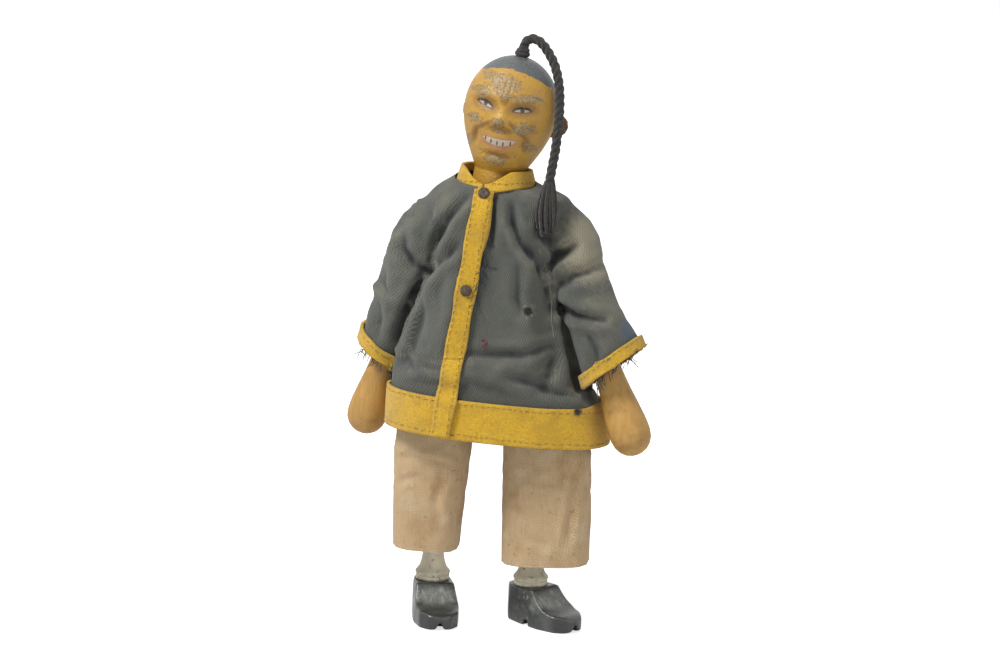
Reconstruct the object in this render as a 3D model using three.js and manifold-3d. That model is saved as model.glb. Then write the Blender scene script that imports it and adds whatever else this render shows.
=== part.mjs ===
// A strung wooden figure in cotton jacket and trousers, about 8 inches tall.
// It faces -Y, its left is +X, it stands on Z = 0, and every size is in millimetres.
import * as THREE from 'three'
import { mergeVertices } from 'three/addons/utils/BufferGeometryUtils.js'
import Module from 'manifold-3d'

// Clearances
const FIT = 0.3 // between wooden pieces, and between a cord and its bore
const CLOTH_FIT = 0.4 // between cloth and what it lies against

// Elastic stringing and the ball joints that it pulls together
const ELASTIC_D = 2.4
const KNOT_D = 5
const DISH_ANGLE = 36 // degrees of a ball that its dish covers, from the axis
const BALL_NECK_ANGLE = 42 // degrees of a ball taken up by its own neck
const BALL_NECK_LENGTH = 1.5
const LIMB_EDGE = 0.8 // bevel round the rim of a dish

// Shoes
const SHOE_LENGTH = 32
const SHOE_WIDTH = 16.2
const HEEL_WIDTH = 14
const SHOE_HEIGHT = 13.4
const TOE_HEIGHT = 6
const TOE_ROUND = 2.8
const HEEL_TO_ANKLE = 8.6
const ANKLE_RECESS = 0.8
const SOLE_TO_KNOT = 0.8
const TOE_NOTCH_WIDTH = 3.2
const TOE_NOTCH_HEIGHT = 3.4
const TOE_NOTCH_LENGTH = 6
const SOLE_NOTCH_WIDTH = 2.4
const SOLE_NOTCH_HEIGHT = 2.2
const LEFT_SHOE_YAW = 50 // degrees towards +X
const RIGHT_SHOE_YAW = 14

// Legs
const LEG_SPACING = 35.2
const SHIN_LENGTH = 38.6 // shoe top to knee centre
const SHIN_D = 11.4
const ANKLE_D = 8
const ANKLE_LENGTH = 7
const CALF_RISE = 5 // height over which the ankle widens to the shin
const BEAD_D = 12
const BEAD_HEIGHT = 4.4
const KNEE_BALL_D = 12
const THIGH_LENGTH = 36 // knee centre to hip axis
const THIGH_D = 13
const HIP_DISC_D = 16
const HIP_DISC_WIDTH = 12.4

// Torso
const TORSO_WIDTH = 35
const TORSO_DEPTH = 22
const TORSO_HEIGHT = 55.5
const TORSO_CORNER = 7
const SHOULDER_SLOPE = 4
const TONGUE_WIDTH = 16
const NECK_RISE = 4 // torso top to neck pivot
const NECK_BALL_D = 18.4

// Arms
const SHOULDER_DROP = 10.5 // torso top to shoulder axis
const SHOULDER_DISC_D = 11
const SHOULDER_DISC_WIDTH = 8.4
const UPPER_ARM_D = 10.2
const UPPER_ARM_LENGTH = 36
const ELBOW_BALL_D = 9.6
const FOREARM_LENGTH = 48 // elbow centre to finger end
const FOREARM_D = 9.2
const FOREARM_BORE = 14
const WRIST_D = 10.8
const HAND_D = 14.6
const HAND_LENGTH = 24
const GRIP_SLIT_WIDTH = 1.4
const GRIP_SLIT_DEPTH = 5
const GRIP_SLIT_LENGTH = 16
const LEFT_ARM_SPLAY = 22.5 // degrees outwards
const RIGHT_ARM_SPLAY = 17
const LEFT_ARM_SWING = 11 // degrees forwards
const RIGHT_ARM_SWING = -10

// Head
const HEAD_WIDTH = 32.6
const HEAD_RISE = 45.4 // neck pivot to crown
const HEAD_WIDEST = 27 // neck pivot to the widest ring
const NECK_D = 16.8
const NECK_TOP = 5 // neck pivot to the start of the jaw
const HEAD_LEAN = 9.5 // degrees towards +X
const HEAD_TURN = -4 // degrees towards +X
const CROWN_BORE = 15
const EAR_HEIGHT = 9.2
const EAR_THICKNESS = 2.6
const EAR_RISE = 23.8 // neck pivot to the middle of an ear
const EAR_BACK = 20 // degrees behind the side of the head
const LEFT_EAR_OUT = 5.4 // how far the ear stands out
const RIGHT_EAR_OUT = 2.6

// Queue of plied cord
const QUEUE_D = 3.2
const QUEUE_KNOT_D = 5.4
const QUEUE_KNOT_HEIGHT = 3.2
const QUEUE_STEPS = 16
const TASSEL_D = 6
const TASSEL_STEPS = 4

// Jacket and its felt trim
const COTTON = 0.8
const FELT = 1.2
const COLLAR_HEIGHT = 6.6
const COLLAR_D = 27.4
const COLLAR_GAP = 5 // open front of the collar
const NECK_HOLE_D = 24.4
const NECK_EDGE = 2.8 // torso top to the jacket's neck edge
const JACKET_LENGTH = 84 // torso top to hem
const SKIRT_LENGTH = 28
const HEM_BAND_HEIGHT = 14
const HEM_DEPTH = 46
const WAIST_DEPTH = 43
const CHEST_DEPTH = 32
const PLACKET_WIDTH = 7
const PLACKET_TOP_X = -3
const PLACKET_HEM_X = -14.5
const BUTTON_D = 4
const BUTTON_HEIGHT = 1.4
const LOWER_BUTTON_DROP = 31 // torso top to the lower button
const SLEEVE_LENGTH = 54 // shoulder axis to cuff end
const SLEEVE_DEPTH = 23
const LEFT_SLEEVE_OUTSIDE = 15 // arm axis to the outer wall
const RIGHT_SLEEVE_OUTSIDE = 11.5
const SLEEVE_INSIDE = 7.6 // arm axis to the inner wall at the cuff
const ARMPIT_DROP = 16 // shoulder axis to armpit along the arm
const SLEEVE_TOP_WIDTH = 26 // armpit to shoulder line where the sleeve joins the body
const SHOULDER_PUFF = 1.6 // how far the sleeve stands up over the shoulder
const CUFF_TILT = 16 // degrees by which the cuff's outer edge is lifted
const ARMHOLE_D = 14.4
const ARMHOLE_DROP = 1.1 // shoulder axis to the middle of the armhole
const CUFF_HEIGHT = 4
const HEM_TO_HAND = 0.4
const HEM_TAPER = 1.2 // how much narrower the top of the hem band is on each side
const LEFT_FLARE = 4.5 // how much further the hem stands out on the left
const SLIT_GAP = 0.012 // radians between the two edges of a slit in the cloth
const FOLD = 0.9 // height of the jacket's folds
const ROW_EASE = 1.5 // rows of the jacket's cloth come closer together towards the neck

// Trousers
const LEFT_TROUSER_WIDTH = 31
const RIGHT_TROUSER_WIDTH = 26
const TROUSER_DEPTH = 27
const LEFT_TROUSER_OFFSET = 4.6 // leg axis to the middle of the trouser leg
const RIGHT_TROUSER_OFFSET = 1.9
const TROUSER_FOLD = 0.5
const TROUSER_TUCK = 3 // how far a leg's outer wall leans in under the jacket
const WAISTBAND_RISE = 8 // above the bottom of the torso block
const WAIST_EASE = 1.5 // room in the waist for the torso's corners
const CROTCH_DROP = 9.4 // below the hip axis
const LEFT_TROUSER_HEM = 23.2
const RIGHT_TROUSER_HEM = 26.2

// Places worked out from the sizes, from the ground up
const radians = THREE.MathUtils.degToRad
const lerp = THREE.MathUtils.lerp
const kneeZ = SHOE_HEIGHT + SHIN_LENGTH
const hipZ = kneeZ + THIGH_LENGTH
const blockZ = hipZ + HIP_DISC_D / 2 + 2 * FIT
const torsoTopZ = blockZ + TORSO_HEIGHT
const shoulderZ = torsoTopZ - SHOULDER_DROP
const shoulderX = TORSO_WIDTH / 2 + FIT + SHOULDER_DISC_WIDTH / 2
const neckZ = torsoTopZ + NECK_RISE
const legX = LEG_SPACING / 2
const hemZ = torsoTopZ - JACKET_LENGTH
const hemBandTopZ = hemZ + HEM_BAND_HEIGHT
const skirtTopZ = hemZ + SKIRT_LENGTH
const neckEdgeZ = torsoTopZ + NECK_EDGE
const crotchZ = hipZ - CROTCH_DROP
const boreD = ELASTIC_D + 2 * FIT
const counterboreD = KNOT_D + 2 * FIT
const leastSplay = radians(Math.min(LEFT_ARM_SPLAY, RIGHT_ARM_SPLAY))

const wasm = await Module()
wasm.setup()

// Solids, their joins and their cuts
function solidOf(geometry) {
  const loose = geometry.index ? geometry.toNonIndexed() : geometry.clone()
  loose.deleteAttribute('normal')
  loose.deleteAttribute('uv')
  const merged = mergeVertices(loose, 1e-4)
  const corners = merged.index.array
  const kept = []
  for (let i = 0; i < corners.length; i += 3) {
    const [a, b, c] = corners.slice(i, i + 3)
    if (a !== b && b !== c && c !== a) kept.push(a, b, c)
  }
  const vertProperties = merged.attributes.position.array
  const triVerts = Uint32Array.from(kept)
  return new wasm.Manifold(new wasm.Mesh({ numProp: 3, vertProperties, triVerts }))
}

function geometryOf(solid) {
  const { vertProperties, triVerts } = solid.getMesh()
  const geometry = new THREE.BufferGeometry()
  geometry.setAttribute('position', new THREE.BufferAttribute(vertProperties, 3))
  geometry.setIndex(new THREE.BufferAttribute(triVerts, 1))
  return geometry
}

function join(...pieces) {
  return geometryOf(pieces.map(solidOf).reduce((sum, piece) => sum.add(piece)))
}

function common(...pieces) {
  return geometryOf(pieces.map(solidOf).reduce((sum, piece) => sum.intersect(piece)))
}

function cut(body, ...tools) {
  return geometryOf(tools.map(solidOf).reduce((left, tool) => left.subtract(tool), solidOf(body)))
}

// A turned piece: a profile of [radius, height] from the bottom to the top, spun about Z
function turned(profile, sides = 16) {
  const points = profile.map(([r, z]) => new THREE.Vector2(r, z))
  return new THREE.LatheGeometry(points, sides).rotateX(Math.PI / 2)
}

// Points of a ball in a profile, centred at height z, between two angles from straight down
function ballArc(diameter, z, from, to, steps) {
  const points = []
  for (let i = 0; i <= steps; i++) {
    const angle = radians(lerp(from, to, i / steps))
    const radius = i === steps && to === 180 ? 0 : diameter / 2 * Math.sin(angle)
    points.push([radius, z - diameter / 2 * Math.cos(angle)])
  }
  return points
}

function ball(diameter, z) {
  return new THREE.SphereGeometry(diameter / 2, 20, 14).translate(0, 0, z)
}

function rodZ(diameter, z0, z1, sides = 16) {
  const rod = new THREE.CylinderGeometry(diameter / 2, diameter / 2, z1 - z0, sides)
  return rod.rotateX(Math.PI / 2).translate(0, 0, (z0 + z1) / 2)
}

function rodX(diameter, x0, x1, sides = 20) {
  const rod = new THREE.CylinderGeometry(diameter / 2, diameter / 2, x1 - x0, sides)
  return rod.rotateZ(Math.PI / 2).translate((x0 + x1) / 2, 0, 0)
}

function box(x0, x1, y0, y1, z0, z1) {
  const block = new THREE.BoxGeometry(x1 - x0, y1 - y0, z1 - z0)
  return block.translate((x0 + x1) / 2, (y0 + y1) / 2, (z0 + z1) / 2)
}

function extruded(shape, depth) {
  return new THREE.ExtrudeGeometry(shape, { depth, bevelEnabled: false, curveSegments: 6 })
}

function roundedRectangle(width, depth, corner) {
  const [x, y] = [width / 2 - corner, depth / 2 - corner]
  const shape = new THREE.Shape()
  const corners = [[x, y], [-x, y], [-x, -y], [x, -y]]
  corners.forEach(([cx, cy], i) => shape.absarc(cx, cy, corner, i * Math.PI / 2, (i + 1) * Math.PI / 2))
  return shape
}

// A cord of round section along points, with a ring of its surface at every step
function cordAlong(points, diameter, steps) {
  const sides = 8
  const section = new THREE.Shape()
  for (let i = 0; i < sides; i++) {
    const angle = 2 * Math.PI * i / sides
    section[i ? 'lineTo' : 'moveTo'](diameter / 2 * Math.cos(angle), diameter / 2 * Math.sin(angle))
  }
  const extrudePath = new THREE.CatmullRomCurve3(points, false, 'centripetal')
  return new THREE.ExtrudeGeometry(section, { steps, extrudePath })
}

// A straight length of elastic along Z with knots at the given heights
function elastic(z0, z1, knots = []) {
  const knot = (z) => new THREE.SphereGeometry(KNOT_D / 2, 8, 6).translate(0, 0, z)
  return join(rodZ(ELASTIC_D, z0, z1, 8), ...knots.map(knot))
}

// A sheet of cloth as a closed solid: at(u, v, depth) is a point of its outer face, 0, or inner face, 1
function clothSolid(columns, rows, wraps, at) {
  const across = wraps ? columns : columns + 1
  const positions = []
  for (const depth of [0, 1]) {
    for (let j = 0; j <= rows; j++) {
      for (let i = 0; i < across; i++) positions.push(...at(i / columns, j / rows, depth))
    }
  }
  const point = (depth, i, j) => (depth * (rows + 1) + j) * across + i % across
  const corners = []
  const quad = (a, b, c, d) => corners.push(a, b, c, a, c, d)
  for (let i = 0; i < columns; i++) {
    for (let j = 0; j < rows; j++) {
      quad(point(0, i, j), point(0, i + 1, j), point(0, i + 1, j + 1), point(0, i, j + 1))
      quad(point(1, i, j), point(1, i, j + 1), point(1, i + 1, j + 1), point(1, i + 1, j))
    }
    quad(point(0, i, 0), point(1, i, 0), point(1, i + 1, 0), point(0, i + 1, 0))
    quad(point(0, i, rows), point(0, i + 1, rows), point(1, i + 1, rows), point(1, i, rows))
  }
  for (let j = 0; j < rows && !wraps; j++) {
    quad(point(0, 0, j), point(0, 0, j + 1), point(1, 0, j + 1), point(1, 0, j))
    quad(point(0, columns, j), point(1, columns, j), point(1, columns, j + 1), point(0, columns, j + 1))
  }
  const geometry = new THREE.BufferGeometry()
  geometry.setAttribute('position', new THREE.Float32BufferAttribute(positions, 3))
  geometry.setIndex(corners)
  return geometry
}

// The value at z of [z, value] stations in rising order, straight from one to the next
function between(stations, z) {
  const upper = stations.findIndex(([height]) => height >= z)
  if (upper < 0) return stations.at(-1)[1]
  if (upper === 0) return stations[0][1]
  const [[z0, a], [z1, b]] = stations.slice(upper - 1, upper + 1)
  return lerp(a, b, (z - z0) / (z1 - z0))
}

// A point of a rounded-square ring about the Z axis; angle 0 is the front and rises towards +X
const SQUARENESS = 2.6
function ringPoint(angle, halfWidth, halfDepth) {
  const rounded = (value) => Math.sign(value) * Math.abs(value) ** (2 / SQUARENESS)
  return [halfWidth * rounded(Math.sin(angle)), -halfDepth * rounded(Math.cos(angle))]
}

function finish(color, roughness, metalness = 0) {
  return new THREE.MeshStandardMaterial({ color, roughness, metalness })
}

const finishes = {
  face: finish('#c8923f', 0.45),
  hand: finish('#c9913f', 0.4),
  wood: finish('#b98d58', 0.7),
  ear: finish('#8a6038', 0.8),
  ankle: finish('#cfc8b6', 0.6),
  shoe: finish('#2b2c2e', 0.5),
  elastic: finish('#d8d2c4', 0.9),
  queue: finish('#2a2827', 0.95),
  jacket: finish('#5b6166', 0.95),
  felt: finish('#d2a62c', 0.98),
  trousers: finish('#c4a684', 0.95),
  nail: finish('#5a4636', 0.6, 0.7),
}

function place(parent, name, geometry, material) {
  const mesh = new THREE.Mesh(geometry, material)
  mesh.name = name
  parent.add(mesh)
}

function pivot(parent, name, x, y, z) {
  const group = new THREE.Group()
  group.name = name
  group.position.set(x, y, z)
  parent.add(group)
  return group
}

const figure = new THREE.Group()

// Torso: a block with sloped shoulders, a neck dish and a hip tongue, bored across for the stringing
function torsoBlock() {
  const slope = new THREE.Shape()
  slope.moveTo(-TORSO_WIDTH / 2, blockZ)
  slope.lineTo(TORSO_WIDTH / 2, blockZ)
  slope.lineTo(TORSO_WIDTH / 2, torsoTopZ - SHOULDER_SLOPE)
  slope.lineTo(NECK_BALL_D / 2 + FIT, torsoTopZ)
  slope.lineTo(-NECK_BALL_D / 2 - FIT, torsoTopZ)
  slope.lineTo(-TORSO_WIDTH / 2, torsoTopZ - SHOULDER_SLOPE)
  const plan = extruded(roundedRectangle(TORSO_WIDTH, TORSO_DEPTH, TORSO_CORNER), TORSO_HEIGHT)
  const front = extruded(slope, TORSO_DEPTH).rotateX(Math.PI / 2).translate(0, TORSO_DEPTH / 2, 0)
  const [side, radius] = [TONGUE_WIDTH / 2, HIP_DISC_D / 2]
  const tongue = box(-side, side, -radius, radius, hipZ, blockZ + FIT)
  const tongueEnd = rodX(HIP_DISC_D, -side, side).translate(0, 0, hipZ)
  return cut(
    join(common(plan.translate(0, 0, blockZ), front), tongue, tongueEnd),
    ball(NECK_BALL_D + 2 * FIT, neckZ),
    rodX(boreD, -TORSO_WIDTH, TORSO_WIDTH, 12).translate(0, 0, shoulderZ),
    rodX(boreD, -TONGUE_WIDTH, TONGUE_WIDTH, 12).translate(0, 0, hipZ),
  )
}
place(figure, 'torso', torsoBlock(), finishes.wood)

// The two cords that cross the torso, each knotted in the outer faces of the limbs that it holds
const hipDiscEnd = TONGUE_WIDTH / 2 + FIT + HIP_DISC_WIDTH
const crossings = [
  ['shoulder_elastic', shoulderX + SHOULDER_DISC_WIDTH / 2 - KNOT_D / 2, shoulderZ],
  ['hip_elastic', hipDiscEnd - KNOT_D / 2, hipZ],
]
for (const [name, reach, z] of crossings) {
  const cord = elastic(-reach, reach, [-reach, reach]).rotateY(Math.PI / 2).translate(0, 0, z)
  place(figure, name, cord, finishes.elastic)
}

// A limb's cross bore along X, with room for the knot at its outer end
function crossBore(inner, outer) {
  const knotRoom = rodX(counterboreD, outer - KNOT_D - FIT, outer + FIT, 16)
  return [rodX(boreD, inner - FIT, outer + FIT, 12), knotRoom]
}

// Legs: a disc on the hip tongue, a thigh dished for the knee ball, a turned shin, a swivelling shoe
function thigh() {
  const discStart = TONGUE_WIDTH / 2 + FIT - legX
  const discEnd = hipDiscEnd - legX
  const dishZ = (KNEE_BALL_D / 2 + FIT) * Math.cos(radians(DISH_ANGLE)) - THIGH_LENGTH
  const radius = THIGH_D / 2
  const shaft = turned([
    [0, dishZ], [radius - LIMB_EDGE, dishZ], [radius, dishZ + LIMB_EDGE],
    [radius, -HIP_DISC_D / 2], [radius * 0.6, 0], [0, 0],
  ])
  return cut(
    join(rodX(HIP_DISC_D, discStart, discEnd), shaft),
    ball(KNEE_BALL_D + 2 * FIT, -THIGH_LENGTH),
    rodZ(boreD, -THIGH_LENGTH, 0, 12),
    ...crossBore(discStart, discEnd),
  )
}

// The foot of a ball-ended limb: neck below the ball, then the ball itself
function ballEnd(diameter) {
  const neck = diameter / 2 * Math.sin(radians(BALL_NECK_ANGLE))
  return [[neck, -diameter / 2 - BALL_NECK_LENGTH], ...ballArc(diameter, 0, BALL_NECK_ANGLE, 180, 6)]
}

const shinFoot = -(SHIN_LENGTH + ANKLE_RECESS - FIT)
function shin() {
  const beadTop = shinFoot + BEAD_HEIGHT
  const ankleTop = beadTop + ANKLE_LENGTH
  const profile = [
    [0, shinFoot], [BEAD_D / 2 - LIMB_EDGE, shinFoot], [BEAD_D / 2, shinFoot + BEAD_HEIGHT * 0.25],
    [BEAD_D / 2, shinFoot + BEAD_HEIGHT * 0.7], [ANKLE_D / 2, beadTop], [ANKLE_D / 2, ankleTop],
    [SHIN_D / 2, ankleTop + CALF_RISE], [SHIN_D / 2, -KNEE_BALL_D],
    ...ballEnd(KNEE_BALL_D),
  ]
  return cut(turned(profile), rodZ(boreD, shinFoot - FIT, KNEE_BALL_D, 12))
}

function shoe() {
  const [toe, heel] = [SHOE_LENGTH - HEEL_TO_ANKLE, -HEEL_TO_ANKLE]
  const side = new THREE.Shape()
  side.moveTo(heel, 0)
  side.lineTo(toe - TOE_ROUND, 0)
  side.quadraticCurveTo(toe, 0, toe, TOE_HEIGHT / 2)
  side.quadraticCurveTo(toe, TOE_HEIGHT, toe - 2 * TOE_ROUND, TOE_HEIGHT)
  side.quadraticCurveTo(BEAD_D / 2 + 2 * TOE_ROUND, TOE_HEIGHT * 1.1, (BEAD_D + TOE_ROUND) / 2, SHOE_HEIGHT)
  side.lineTo(heel + TOE_ROUND / 2, SHOE_HEIGHT)
  side.lineTo(heel, SHOE_HEIGHT - TOE_ROUND)
  const plan = new THREE.Shape()
  plan.moveTo(-HEEL_WIDTH / 2, 0)
  plan.bezierCurveTo(-HEEL_WIDTH / 2, heel * 1.33, HEEL_WIDTH / 2, heel * 1.33, HEEL_WIDTH / 2, 0)
  plan.quadraticCurveTo(SHOE_WIDTH / 2, toe / 4, SHOE_WIDTH / 2, toe / 2)
  plan.bezierCurveTo(SHOE_WIDTH / 2, toe * 1.16, -SHOE_WIDTH / 2, toe * 1.16, -SHOE_WIDTH / 2, toe / 2)
  plan.quadraticCurveTo(-SHOE_WIDTH / 2, toe / 4, -HEEL_WIDTH / 2, 0)
  const arch = new THREE.Shape()
  arch.moveTo(-SHOE_WIDTH / 2, 0)
  arch.lineTo(SHOE_WIDTH / 2, 0)
  arch.lineTo(SHOE_WIDTH / 2, TOE_HEIGHT / 3)
  arch.quadraticCurveTo(SHOE_WIDTH / 2, TOE_HEIGHT, BEAD_D / 2 + LIMB_EDGE, SHOE_HEIGHT)
  arch.lineTo(-BEAD_D / 2 - LIMB_EDGE, SHOE_HEIGHT)
  arch.quadraticCurveTo(-SHOE_WIDTH / 2, TOE_HEIGHT, -SHOE_WIDTH / 2, TOE_HEIGHT / 3)
  const [ahead, up] = [new THREE.Vector3(0, -1, 0), new THREE.Vector3(0, 0, 1)]
  const sideOn = new THREE.Matrix4().makeBasis(ahead, up, ahead.clone().cross(up))
  const last = common(
    extruded(side, SHOE_WIDTH).applyMatrix4(sideOn).translate(SHOE_WIDTH / 2, 0, 0),
    extruded(plan, SHOE_HEIGHT).rotateX(Math.PI).translate(0, 0, SHOE_HEIGHT),
    extruded(arch, 2 * SHOE_LENGTH).rotateX(Math.PI / 2).translate(0, SHOE_LENGTH, 0),
  )
  const notchY = -counterboreD / 2 - SOLE_NOTCH_WIDTH
  const [notchFront, notchBack] = [notchY - SOLE_NOTCH_WIDTH / 2, notchY + SOLE_NOTCH_WIDTH / 2]
  const below = -1
  const wedge = new THREE.Shape()
  wedge.moveTo(-TOE_NOTCH_WIDTH / 2, 0)
  wedge.lineTo(0, TOE_NOTCH_HEIGHT)
  wedge.lineTo(TOE_NOTCH_WIDTH / 2, 0)
  wedge.lineTo(TOE_NOTCH_WIDTH / 2, below)
  wedge.lineTo(-TOE_NOTCH_WIDTH / 2, below)
  const toeNotch = extruded(wedge, SHOE_LENGTH).rotateX(Math.PI / 2).translate(0, TOE_NOTCH_LENGTH - toe, 0)
  return cut(
    last,
    rodZ(BEAD_D + 2 * FIT, SHOE_HEIGHT - ANKLE_RECESS, SHOE_HEIGHT - below),
    rodZ(boreD, below, SHOE_HEIGHT, 12),
    rodZ(counterboreD, below, SOLE_TO_KNOT + KNOT_D + FIT),
    toeNotch,
    box(-SHOE_WIDTH, SHOE_WIDTH, notchFront, notchBack, below, SOLE_NOTCH_HEIGHT),
  )
}

// A trouser leg about its own upright axis, between two heights
function trouserLeg(bottom, top, side, width, offset) {
  return clothSolid(20, 4, true, (u, v, depth) => {
    const angle = 2 * Math.PI * u
    const z = lerp(bottom, top, v)
    const loose = between([[LEFT_TROUSER_HEM, TROUSER_FOLD], [crotchZ, TROUSER_FOLD * 0.4]], z)
    const fold = loose * Math.cos(5 * angle + side)
    const tuck = between([[kneeZ, 0], [crotchZ, TROUSER_TUCK / 2]], z)
    const inset = TROUSER_FOLD + depth * COTTON - fold
    const [x, y] = ringPoint(angle, width / 2 - tuck - inset, TROUSER_DEPTH / 2 - inset)
    return [side * (legX + offset - tuck) + x, y, z]
  })
}

const kneeElasticTop = KNEE_BALL_D / 2 - FIT
const legSides = [
  ['left', 1, LEFT_SHOE_YAW, LEFT_TROUSER_HEM, LEFT_TROUSER_WIDTH, LEFT_TROUSER_OFFSET],
  ['right', -1, RIGHT_SHOE_YAW, RIGHT_TROUSER_HEM, RIGHT_TROUSER_WIDTH, RIGHT_TROUSER_OFFSET],
]
for (const [name, side, yaw, trouserHem, ...trouser] of legSides) {
  const hip = pivot(figure, `${name}_hip`, side * legX, 0, hipZ)
  const knee = pivot(hip, `${name}_knee`, 0, 0, -THIGH_LENGTH)
  const ankle = pivot(figure, `${name}_ankle`, side * legX, 0, 0)
  ankle.rotation.z = radians(yaw)
  const turn = side > 0 ? 0 : Math.PI
  place(hip, `${name}_thigh`, thigh().rotateZ(turn), finishes.wood)
  const thighCord = elastic(KNEE_BALL_D / 2 + 2 * FIT - THIGH_LENGTH, -ELASTIC_D - FIT)
  place(hip, `${name}_thigh_elastic`, thighCord, finishes.elastic)
  place(knee, `${name}_shin`, shin(), finishes.ankle)
  const soleKnotZ = SOLE_TO_KNOT + KNOT_D / 2 - kneeZ
  place(knee, `${name}_shin_elastic`, elastic(soleKnotZ, kneeElasticTop, [soleKnotZ]), finishes.elastic)
  place(ankle, `${name}_shoe`, shoe(), finishes.shoe)
  const upperTrouser = trouserLeg(kneeZ + CLOTH_FIT, crotchZ - CLOTH_FIT, side, ...trouser)
  place(figure, `${name}_upper_trouser`, upperTrouser, finishes.trousers)
  place(figure, `${name}_lower_trouser`, trouserLeg(trouserHem, kneeZ, side, ...trouser), finishes.trousers)
}

// Arms: a disc on the torso's side, a splayed shaft dished for the elbow ball, a forearm with a club hand
function armMatrix(side, splay) {
  return new THREE.Matrix4().makeRotationY(-side * splay)
}

function upperArm(side, splay) {
  const half = SHOULDER_DISC_WIDTH / 2
  const dishZ = (ELBOW_BALL_D / 2 + FIT) * Math.cos(radians(DISH_ANGLE)) - UPPER_ARM_LENGTH
  const radius = UPPER_ARM_D / 2
  const shaft = turned([
    [0, dishZ], [radius - LIMB_EDGE, dishZ], [radius, dishZ + LIMB_EDGE],
    [radius, -SHOULDER_DISC_D / 2], [radius * 0.8, 0], [0, 0],
  ])
  const disc = rodX(SHOULDER_DISC_D, -half, half)
  const turn = side > 0 ? 0 : Math.PI
  return cut(
    join(disc, shaft.applyMatrix4(armMatrix(side, splay))),
    ball(ELBOW_BALL_D + 2 * FIT, -UPPER_ARM_LENGTH).applyMatrix4(armMatrix(side, splay)),
    rodZ(boreD, -UPPER_ARM_LENGTH, 0, 12).applyMatrix4(armMatrix(side, splay)),
    ...crossBore(-half, half).map((bore) => bore.rotateZ(turn)),
  )
}

function forearm(side) {
  const tip = -FOREARM_LENGTH
  const hand = HAND_D / 2
  const profile = [
    [0, tip], [hand * 0.5, tip + hand * 0.11], [hand * 0.82, tip + hand * 0.42], [hand, tip + hand],
    [hand, tip + HAND_D * 0.8], [WRIST_D / 2, tip + HAND_LENGTH],
    [FOREARM_D / 2, -FOREARM_BORE], [FOREARM_D / 2, -ELBOW_BALL_D],
    ...ballEnd(ELBOW_BALL_D),
  ]
  const slit = GRIP_SLIT_WIDTH / 2
  const palm = box(hand - GRIP_SLIT_DEPTH, hand + 1, -slit, slit, tip - 1, tip + GRIP_SLIT_LENGTH)
  const bore = rodZ(boreD, -FOREARM_BORE, ELBOW_BALL_D, 12)
  return cut(turned(profile), bore, palm.rotateZ(side > 0 ? 0 : Math.PI))
}

// Distance from the arm's axis to the sleeve's inner wall at a distance along the arm
const armpitInside = UPPER_ARM_D / 2 + CLOTH_FIT + COTTON
function sleeveInside(along) {
  return between([[ARMPIT_DROP, armpitInside], [SLEEVE_LENGTH, SLEEVE_INSIDE]], along)
}

// The jacket between the sleeves: the widest it can be at a height without touching the sleeves or cuffs
function insideSleeves(z) {
  const along = (shoulderZ - z) / Math.cos(leastSplay)
  const wall = sleeveInside(along) + (z < skirtTopZ ? CLOTH_FIT + FELT : 0)
  return shoulderX + (shoulderZ - z) * Math.tan(leastSplay) - wall / Math.cos(leastSplay) - CLOTH_FIT
}

const cuffReach = SLEEVE_INSIDE + 2 * CLOTH_FIT + FELT
const cuffEnd = SLEEVE_LENGTH + 4 * CLOTH_FIT
const cuffLowZ = shoulderZ - cuffEnd * Math.cos(leastSplay) - cuffReach * Math.sin(leastSplay)
const armpitZ = shoulderZ - ARMPIT_DROP
const handX = shoulderX + (UPPER_ARM_LENGTH + FOREARM_LENGTH - HAND_D / 2) * Math.sin(leastSplay)
const hemHalf = handX - HAND_D / 2 / Math.cos(leastSplay) - HEM_TO_HAND - FELT - CLOTH_FIT
const shoulderHalf = TORSO_WIDTH / 2 + CLOTH_FIT + COTTON + CLOTH_FIT
const jacketWidths = [
  [hemZ, hemHalf], [hemBandTopZ, hemHalf - HEM_TAPER], [cuffLowZ, insideSleeves(cuffLowZ)],
  [skirtTopZ, insideSleeves(skirtTopZ - FIT)], [armpitZ, insideSleeves(armpitZ)],
  [shoulderZ - ARMHOLE_D / 2, shoulderHalf], [torsoTopZ - FIT, shoulderHalf],
  [neckEdgeZ, NECK_HOLE_D / 2],
]
const jacketDepths = [
  [hemZ, HEM_DEPTH / 2], [skirtTopZ, WAIST_DEPTH / 2], [shoulderZ, CHEST_DEPTH / 2],
  [torsoTopZ, CHEST_DEPTH / 2], [neckEdgeZ, NECK_HOLE_D / 2],
]

// A point of the jacket at a height and an angle from the front, inset from its outer face; its folds run
// down the front and back and deepen towards the hem
function jacketPoint(angle, z, inset) {
  const depth = FOLD * between([[hemZ, 1], [skirtTopZ, 0.8], [shoulderZ, 0.25], [torsoTopZ, 0]], z)
  const fold = depth * Math.cos(9 * angle + 0.6) * Math.cos(angle) ** 2
  const flare = Math.sin(angle) > 0 ? between([[hemZ, LEFT_FLARE], [cuffLowZ, 0]], z) : 0
  const [x, y] = ringPoint(angle, between(jacketWidths, z) + flare - inset, between(jacketDepths, z) - inset)
  return [x, y + fold * -Math.sign(Math.cos(angle)), z]
}

// The angle at which the jacket's front has a given x, and the line of the placket down the front
function frontAngle(x, z) {
  const share = Math.abs(x) / between(jacketWidths, z)
  return Math.sign(x) * Math.asin(share ** (SQUARENESS / 2))
}

function placketX(z) {
  return lerp(PLACKET_HEM_X, PLACKET_TOP_X, (z - hemZ) / (torsoTopZ - hemZ))
}

function slitAngle(z) {
  return frontAngle(placketX(z), z)
}

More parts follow.
